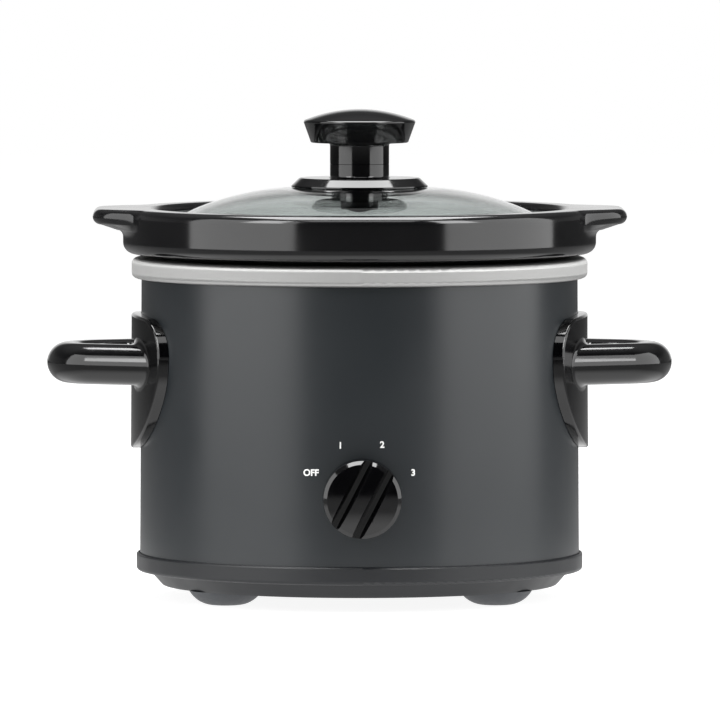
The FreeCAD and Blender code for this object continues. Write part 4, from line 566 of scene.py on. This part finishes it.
def groove_cutter(sizes):
    """Two long wedges that cut the grooves beside the dial's grip bar."""
    # The wedges stand proud of the face and run out past the dial's edge.
    spare = 3 * MM
    length = 1.5 * DIAL_HIGH.x
    depth = sizes.groove_depth
    inner_slope = (sizes.bar_foot - sizes.bar_top) / depth
    outer_slope = (sizes.groove_top - sizes.groove_foot) / depth
    floor, top = sizes.dial_depth - depth, sizes.dial_depth + spare
    section = [
        (sizes.bar_foot, floor), (sizes.groove_foot, floor),
        (sizes.groove_top + outer_slope * spare, top), (sizes.bar_top - inner_slope * spare, top)]
    shape = bmesh.new()
    for side in (-1, 1):
        ends = []
        for end in (-1, 1):
            places = [(side * across, end * length, height) for across, height in section]
            ends.append([shape.verts.new(place) for place in places])
            shape.faces.new(ends[-1])
        for corner in range(4):
            after = (corner + 1) % 4
            shape.faces.new((ends[0][corner], ends[0][after], ends[1][after], ends[1][corner]))
    bmesh.ops.recalc_face_normals(shape, faces=shape.faces)
    mesh = bpy.data.meshes.new("groove_cutter")
    shape.to_mesh(mesh)
    shape.free()
    mesh.transform(Matrix.Rotation(-sizes.bar_angle, 4, "Z"))
    return mesh


def cut_and_round(mesh, cutter, bevel):
    """Mesh less a cutter, with its sharp edges rounded."""
    holder = bpy.data.objects.new("cut_holder", mesh)
    tool = bpy.data.objects.new("cut_tool", cutter)
    for item in (holder, tool):
        bpy.context.scene.collection.objects.link(item)
    cut = holder.modifiers.new("cut", "BOOLEAN")
    cut.object = tool
    cut.operation = "DIFFERENCE"
    rounding = holder.modifiers.new("round", "BEVEL")
    rounding.width = bevel
    rounding.segments = 3
    rounding.harden_normals = True
    done = bpy.data.meshes.new_from_object(holder.evaluated_get(bpy.context.evaluated_depsgraph_get()))
    done.name = mesh.name
    for item in (holder, tool):
        bpy.data.objects.remove(item)
    return done


class COOKER_OT_lid(bpy.types.Operator):
    """Glass lid with its knob"""

    bl_idname = "cooker.lid"
    bl_label = "Lid"

    def execute(self, context):
        scene = context.scene
        section = lid_outline(scene.cooker_sizes)
        mesh = lathe("lid_glass_clear", lambda angle: section, 192, True)
        mesh.materials.append(pressed_glass(scene.cooker_colours.glass))
        lid = bpy.data.objects.new("lid_glass_clear", mesh)
        link_piece(lid, "lid", "clear_glass", "lid_glass")
        gloss = bpy.data.materials["phenolic resin polished moulding"]
        turned = knob_outline(scene.cooker_sizes)
        mesh = lathe("turned_knob", lambda angle: turned, 128, False)
        mesh.materials.append(gloss)
        link_piece(bpy.data.objects.new("turned_knob", mesh), "lid", "black_phenolic", "lid_knob")
        dress(["knob_base"], gloss)
        dress(["knob_gasket"], dull_moulding("silicone seal moulding", "#2E2E2F", 0.6))
        dress(["knob_washer"], dull_moulding("nylon washer moulding", "#26292C", 0.5))
        dress(["knob_screw"], bpy.data.materials["steel zinc plated"])
        dress(["knob_insert"], bpy.data.materials["brass turned"])
        return {"FINISHED"}


class COOKER_OT_crock(bpy.types.Operator):
    """Glazed stoneware crock"""

    bl_idname = "cooker.crock"
    bl_label = "Crock"

    def execute(self, context):
        sizes = context.scene.cooker_sizes
        mesh = lathe("glazed_crock", lambda angle: crock_outline(sizes, angle), 360, False)
        mesh.materials.append(glazed_stoneware(context.scene.cooker_colours.glaze))
        crock = bpy.data.objects.new("glazed_crock", mesh)
        crock.modifiers.new("keep flats flat", "WEIGHTED_NORMAL").keep_sharp = True
        link_piece(crock, "crock", "glazed_stoneware", "crock")
        return {"FINISHED"}


class COOKER_OT_housing(bpy.types.Operator):
    """Painted housing and the brushed ring of the well"""

    bl_idname = "cooker.housing"
    bl_label = "Housing and well"

    def execute(self, context):
        colours = context.scene.cooker_colours
        dress(["outer_housing"], satin_painted_steel(colours.paint))
        dress(["heating_well"], brushed_aluminium(colours.ring))
        return {"FINISHED"}


class COOKER_OT_base(bpy.types.Operator):
    """Base tray and feet"""

    bl_idname = "cooker.base"
    bl_label = "Base tray and feet"

    def execute(self, context):
        colours = context.scene.cooker_colours
        dress(["base_tray"], grained_polypropylene(colours.tray))
        feet = [name for name in NODES if name.startswith("foot_")]
        dress(feet, moulded_rubber(colours.foot))
        dress(["cord_gland"], dull_moulding("nylon gland moulding", "#1B1B1C", 0.5))
        return {"FINISHED"}


class COOKER_OT_grips(bpy.types.Operator):
    """Side handles and the dial"""

    bl_idname = "cooker.grips"
    bl_label = "Handles and dial"

    def execute(self, context):
        gloss = moulded_phenolic(context.scene.cooker_colours.phenolic)
        dress(["handle_left", "handle_right"], gloss)
        sizes = context.scene.cooker_sizes
        mesh = lathe("grooved_dial", lambda angle: dial_outline(sizes), 128, False)
        mesh = cut_and_round(mesh, groove_cutter(sizes), sizes.groove_bevel)
        middle = (DIAL_LOW + DIAL_HIGH) / 2
        middle.y = DIAL_LOW.y + sizes.dial_depth
        mesh.transform(Matrix.Translation(middle) @ Matrix.Rotation(math.pi / 2, 4, "X"))
        mesh.materials.append(gloss)
        dial = bpy.data.objects.new("grooved_dial", mesh)
        link_piece(dial, "dial", "black_phenolic", "control_knob")
        return {"FINISHED"}


class COOKER_OT_inside(bpy.types.Operator):
    """Metal and plastic pieces inside the housing"""

    bl_idname = "cooker.inside"
    bl_label = "Inner pieces"

    def execute(self, context):
        zinc = plated_metal("steel zinc plated", "#C8C9C6", 0.38)
        brass = plated_metal("brass turned", "#C9A35A", 0.34)
        dress([
            "handle_screws", "switch_shaft", "switch_nut", "heater_clamp_bolt", "heater_clamp_nut",
            "center_bolt", "center_washer", "center_nut", "shield_nut", "shield_spacer", "fuse_clip"], zinc)
        dress(["switch_terminals", "heater_tabs"], brass)
        dress(["heater_band"], plated_metal("steel mill finish jacket", "#B9B7B2", 0.45))
        dress(["heat_shield"], plated_metal("aluminium mill finish", "#CDCDCB", 0.4))
        dress(["rotary_switch"], dull_moulding("switch phenolic moulding", "#3A3128", 0.5))
        dress(["thermal_fuse"], dull_moulding("fuse ceramic body", "#D8D2C6", 0.6))
        dress(["crimp_caps"], dull_moulding("nylon crimp cap", "#D9D6CC", 0.5))
        leads = [name for name in NODES if name.startswith("lead_")]
        dress(leads, dull_moulding("silicone glass braid sleeve", "#D6D2C8", 0.7))
        return {"FINISHED"}


class COOKER_OT_markings(bpy.types.Operator):
    """Printed settings round the dial: OFF and plain numbers"""

    bl_idname = "cooker.markings"
    bl_label = "Dial markings"

    def execute(self, context):
        scene = context.scene
        sizes = scene.cooker_sizes
        ink = printed_ink(scene.cooker_colours.ink)
        dial_height = (DIAL_LOW.z + DIAL_HIGH.z) / 2
        settings = (("OFF", -64.0), ("1", -22.6), ("2", 20.6), ("3", 64.0))
        for number, (word, angle) in enumerate(settings):
            turn = math.radians(angle)
            across = sizes.marking_circle * math.sin(turn)
            height = dial_height + sizes.marking_circle * math.cos(turn)
            mesh = self.wrapped_word(sizes, word, across, height)
            mesh.materials.append(ink)
            marking = bpy.data.objects.new(f"dial_marking_{number}", mesh)
            link_piece(marking, "base", "charcoal_paint")
        return {"FINISHED"}

    def wrapped_word(self, sizes, word, across, height):
        """Mesh of a word laid on the tapered housing."""
        capital = sizes.marking_height
        # Capitals of the built-in face are about 0.72 of its size.
        capital_share = 0.72
        # Strokes are drawn bolder by this share of the height.
        boldness = 0.045
        film, clearance = 0.02 * MM, 0.06 * MM
        curve = bpy.data.curves.new(f"word_{word}", "FONT")
        curve.body = word
        curve.align_x = "CENTER"
        curve.align_y = "CENTER"
        curve.size = capital / capital_share
        curve.offset = boldness * capital
        curve.extrude = film
        holder = bpy.data.objects.new("word_holder", curve)
        bpy.context.scene.collection.objects.link(holder)
        mesh = bpy.data.meshes.new_from_object(holder.evaluated_get(bpy.context.evaluated_depsgraph_get()))
        bpy.data.objects.remove(holder)
        foot, top = HOUSING_HIGH.x, HOUSING_HIGH.x - sizes.housing_taper
        for vertex in mesh.vertices:
            rise = (height + vertex.co.y - HOUSING_LOW.z) / (HOUSING_HIGH.z - HOUSING_LOW.z)
            radius = foot + (top - foot) * rise + clearance + vertex.co.z
            turn = math.asin(across / radius) + vertex.co.x / radius
            vertex.co = (radius * math.sin(turn), -radius * math.cos(turn), height + vertex.co.y)
        return mesh


class COOKER_OT_stage(bpy.types.Operator):
    """White floor and room, softboxes and camera"""

    bl_idname = "cooker.stage"
    bl_label = "Stage"

    def execute(self, context):
        scene = context.scene
        settings = scene.cooker_stage
        scene.view_settings.view_transform = "Standard"
        self.make_room(scene, settings)
        self.make_floor(scene)
        self.make_softboxes(scene, settings)
        self.make_camera(scene, settings)
        return {"FINISHED"}

    def make_room(self, scene, settings):
        """White room: as mirror finishes see it, dim before the cooker and brighter upwards behind it."""
        world = bpy.data.worlds.new("white room")
        scene.world = world
        world.use_nodes = True
        tree = world.node_tree
        tree.nodes.clear()
        rays = add_node(tree, "ShaderNodeLightPath")
        way = add_node(tree, "ShaderNodeTexCoord")
        parts = add_node(tree, "ShaderNodeSeparateXYZ", {"Vector": way.outputs["Generated"]})
        climb = add_node(tree, "ShaderNodeMapRange", {
            "Value": parts.outputs["Z"], "From Min": 0.5, "From Max": 0.95, "To Min": 0.1, "To Max": 0.4})
        haze = add_node(tree, "ShaderNodeMapRange", {
            "Value": parts.outputs["Z"], "From Min": 0.2, "From Max": 0.36, "To Min": 0.85, "To Max": 0.0})
        sector = add_node(tree, "ShaderNodeMapRange", {
            "Value": parts.outputs["Y"], "From Min": 0.88, "From Max": 0.97, "To Min": 0.12, "To Max": 1.0})
        wall = add_node(tree, "ShaderNodeMath", {
            0: haze.outputs["Result"], 1: sector.outputs["Result"]}, operation="MULTIPLY")
        glow = add_node(tree, "ShaderNodeMath", {0: climb.outputs["Result"], 1: wall.outputs[0]})
        behind = add_node(tree, "ShaderNodeMapRange", {
            "Value": parts.outputs["Y"], "From Min": -0.3, "From Max": 0.3, "To Min": 0.02, "To Max": 1.0})
        fade = add_node(tree, "ShaderNodeMath", {
            0: glow.outputs[0], 1: behind.outputs["Result"]}, operation="MULTIPLY")
        mirror = add_node(tree, "ShaderNodeMix", {
            "Factor": rays.outputs["Is Glossy Ray"], "A": settings.ambient, "B": fade.outputs[0]})
        seen = add_node(tree, "ShaderNodeMath", {
            0: rays.outputs["Is Camera Ray"], 1: rays.outputs["Is Transmission Ray"]}, operation="MAXIMUM")
        level = add_node(tree, "ShaderNodeMix", {
            "Factor": seen.outputs[0], "A": mirror.outputs["Result"], "B": 1.0})
        white = (1.0, 1.0, 1.0, 1.0)
        sky = add_node(tree, "ShaderNodeBackground", {"Color": white, "Strength": level.outputs["Result"]})
        add_node(tree, "ShaderNodeOutputWorld", {"Surface": sky.outputs["Background"]})

    def make_floor(self, scene):
        """Pale floor that keeps the cooker's shadow, lit through under the cooker as a light table is."""
        mesh = bpy.data.meshes.new("studio_floor")
        half = 6.0
        corners = [(-half, -half, 0), (half, -half, 0), (half, half, 0), (-half, half, 0)]
        mesh.from_pydata(corners, [], [(0, 1, 2, 3)])
        floor = bpy.data.objects.new("studio_floor", mesh)
        scene.collection.objects.link(floor)
        material = bpy.data.materials.new("white studio floor")
        material.use_nodes = True
        tree = material.node_tree
        tree.nodes.clear()
        rays = add_node(tree, "ShaderNodeLightPath")
        seen = add_node(tree, "ShaderNodeMath", {
            0: rays.outputs["Is Camera Ray"], 1: rays.outputs["Is Transmission Ray"]}, operation="MAXIMUM")
        place = add_node(tree, "ShaderNodeTexCoord")
        far = add_node(tree, "ShaderNodeVectorMath", {0: place.outputs["Object"]}, operation="LENGTH")
        table = add_node(tree, "ShaderNodeMapRange", {
            "Value": far.outputs["Value"],
            "From Min": 0.22, "From Max": 0.34, "To Min": 0.9, "To Max": 0.0})
        white_to_camera = 0.9
        lift = add_node(tree, "ShaderNodeMix", {
            "Factor": seen.outputs[0], "A": table.outputs["Result"], "B": white_to_camera})
        glow = add_node(tree, "ShaderNodeEmission", {"Strength": lift.outputs["Result"]})
        # Mirror finishes see the floor dimmer than matt ones do.
        pale, dim = rgba(linear("#969696")), rgba(linear("#707070"))
        tone = add_node(tree, "ShaderNodeMix", {
            "Factor": rays.outputs["Is Glossy Ray"], "A": pale, "B": dim}, data_type="RGBA")
        matt = add_node(tree, "ShaderNodeBsdfDiffuse", {"Color": tone.outputs["Result"]})
        both = add_node(tree, "ShaderNodeAddShader", {0: glow.outputs[0], 1: matt.outputs[0]})
        add_node(tree, "ShaderNodeOutputMaterial", {"Surface": both.outputs[0]})
        mesh.materials.append(material)

    def make_softboxes(self, scene, settings):
        """Two tall softboxes with bright cores, a strong one overhead and a fill above the camera."""
        power = settings.softbox_power
        self.add_softbox(
            scene, "softbox_left", power, angle=-60.0, distance=1.5, height=0.76, width=1.66, tall=1.5)
        self.add_softbox(
            scene, "softbox_right", power, angle=72.5, distance=1.5, height=0.76, width=1.9, tall=1.5)
        self.add_softbox(
            scene, "softbox_top", 4 * power,
            angle=180.0, distance=0.1, height=1.6, width=1.4, tall=1.3, leans=True)
        self.add_softbox(
            scene, "softbox_fill", power,
            angle=0.0, distance=1.4, height=1.9, width=1.8, tall=0.8, leans=True)
        for name, angle in (("core_left", -48.0), ("core_right", 48.0)):
            core = self.add_softbox(
                scene, name, 2.6 * power, angle=angle, distance=1.45, height=1.12, width=0.5, tall=1.2)
            # Matt surfaces already get the light of the whole softbox.
            core.visible_diffuse = False

    def add_softbox(self, scene, name, power, angle, distance, height, width, tall, leans=False):
        """Softbox in metres, at an angle in degrees from the front, upright or leaning to the cooker."""
        lamp = bpy.data.lights.new(name, "AREA")
        lamp.shape = "RECTANGLE"
        lamp.size, lamp.size_y = width, tall
        lamp.energy = power * width * tall
        box = bpy.data.objects.new(name, lamp)
        turn = math.radians(angle)
        box.location = (distance * math.sin(turn), -distance * math.cos(turn), height)
        away = Vector((box.location.x, box.location.y, height if leans else 0))
        box.rotation_mode = "QUATERNION"
        box.rotation_quaternion = away.to_track_quat("Z", "Y")
        scene.collection.objects.link(box)
        return box

    def make_camera(self, scene, settings):
        """Long lens from the front, a little above the lid."""
        lens = bpy.data.cameras.new("camera")
        lens.lens = settings.lens
        lens.sensor_width = 36.0
        camera = bpy.data.objects.new("camera", lens)
        camera.location = (settings.camera_side, -settings.camera_distance, settings.camera_height)
        aim = Vector((settings.aim_side, 0, settings.aim_height)) - camera.location
        camera.rotation_mode = "QUATERNION"
        camera.rotation_quaternion = aim.to_track_quat("-Z", "Y")
        lens.clip_end = 50
        scene.collection.objects.link(camera)
        scene.camera = camera


OPERATORS = (
    COOKER_OT_grips, COOKER_OT_inside, COOKER_OT_lid, COOKER_OT_crock, COOKER_OT_housing, COOKER_OT_base,
    COOKER_OT_markings, COOKER_OT_stage,
)


class COOKER_PT_panel(bpy.types.Panel):
    """Slow cooker pieces and settings"""

    bl_idname = "COOKER_PT_panel"
    bl_label = "Slow cooker"
    bl_space_type = "VIEW_3D"
    bl_region_type = "UI"
    bl_category = "Slow cooker"

    def draw(self, context):
        for operator in OPERATORS:
            self.layout.operator(operator.bl_idname)
        for group in (context.scene.cooker_colours, context.scene.cooker_sizes, context.scene.cooker_stage):
            for name in group.bl_rna.properties.keys():
                if name not in ("rna_type", "name"):
                    self.layout.prop(group, name)


CLASSES = (CookerColours, CookerSizes, CookerStage, *OPERATORS, COOKER_PT_panel)


def register():
    for item in CLASSES:
        bpy.utils.register_class(item)
    bpy.types.Scene.cooker_colours = bpy.props.PointerProperty(type=CookerColours)
    bpy.types.Scene.cooker_sizes = bpy.props.PointerProperty(type=CookerSizes)
    bpy.types.Scene.cooker_stage = bpy.props.PointerProperty(type=CookerStage)


def unregister():
    del bpy.types.Scene.cooker_stage
    del bpy.types.Scene.cooker_sizes
    del bpy.types.Scene.cooker_colours
    for item in reversed(CLASSES):
        bpy.utils.unregister_class(item)


def main():
    register()
    for operator in OPERATORS:
        getattr(bpy.ops.cooker, operator.bl_idname.split(".")[1])()


if __name__ == "__main__":
    main()
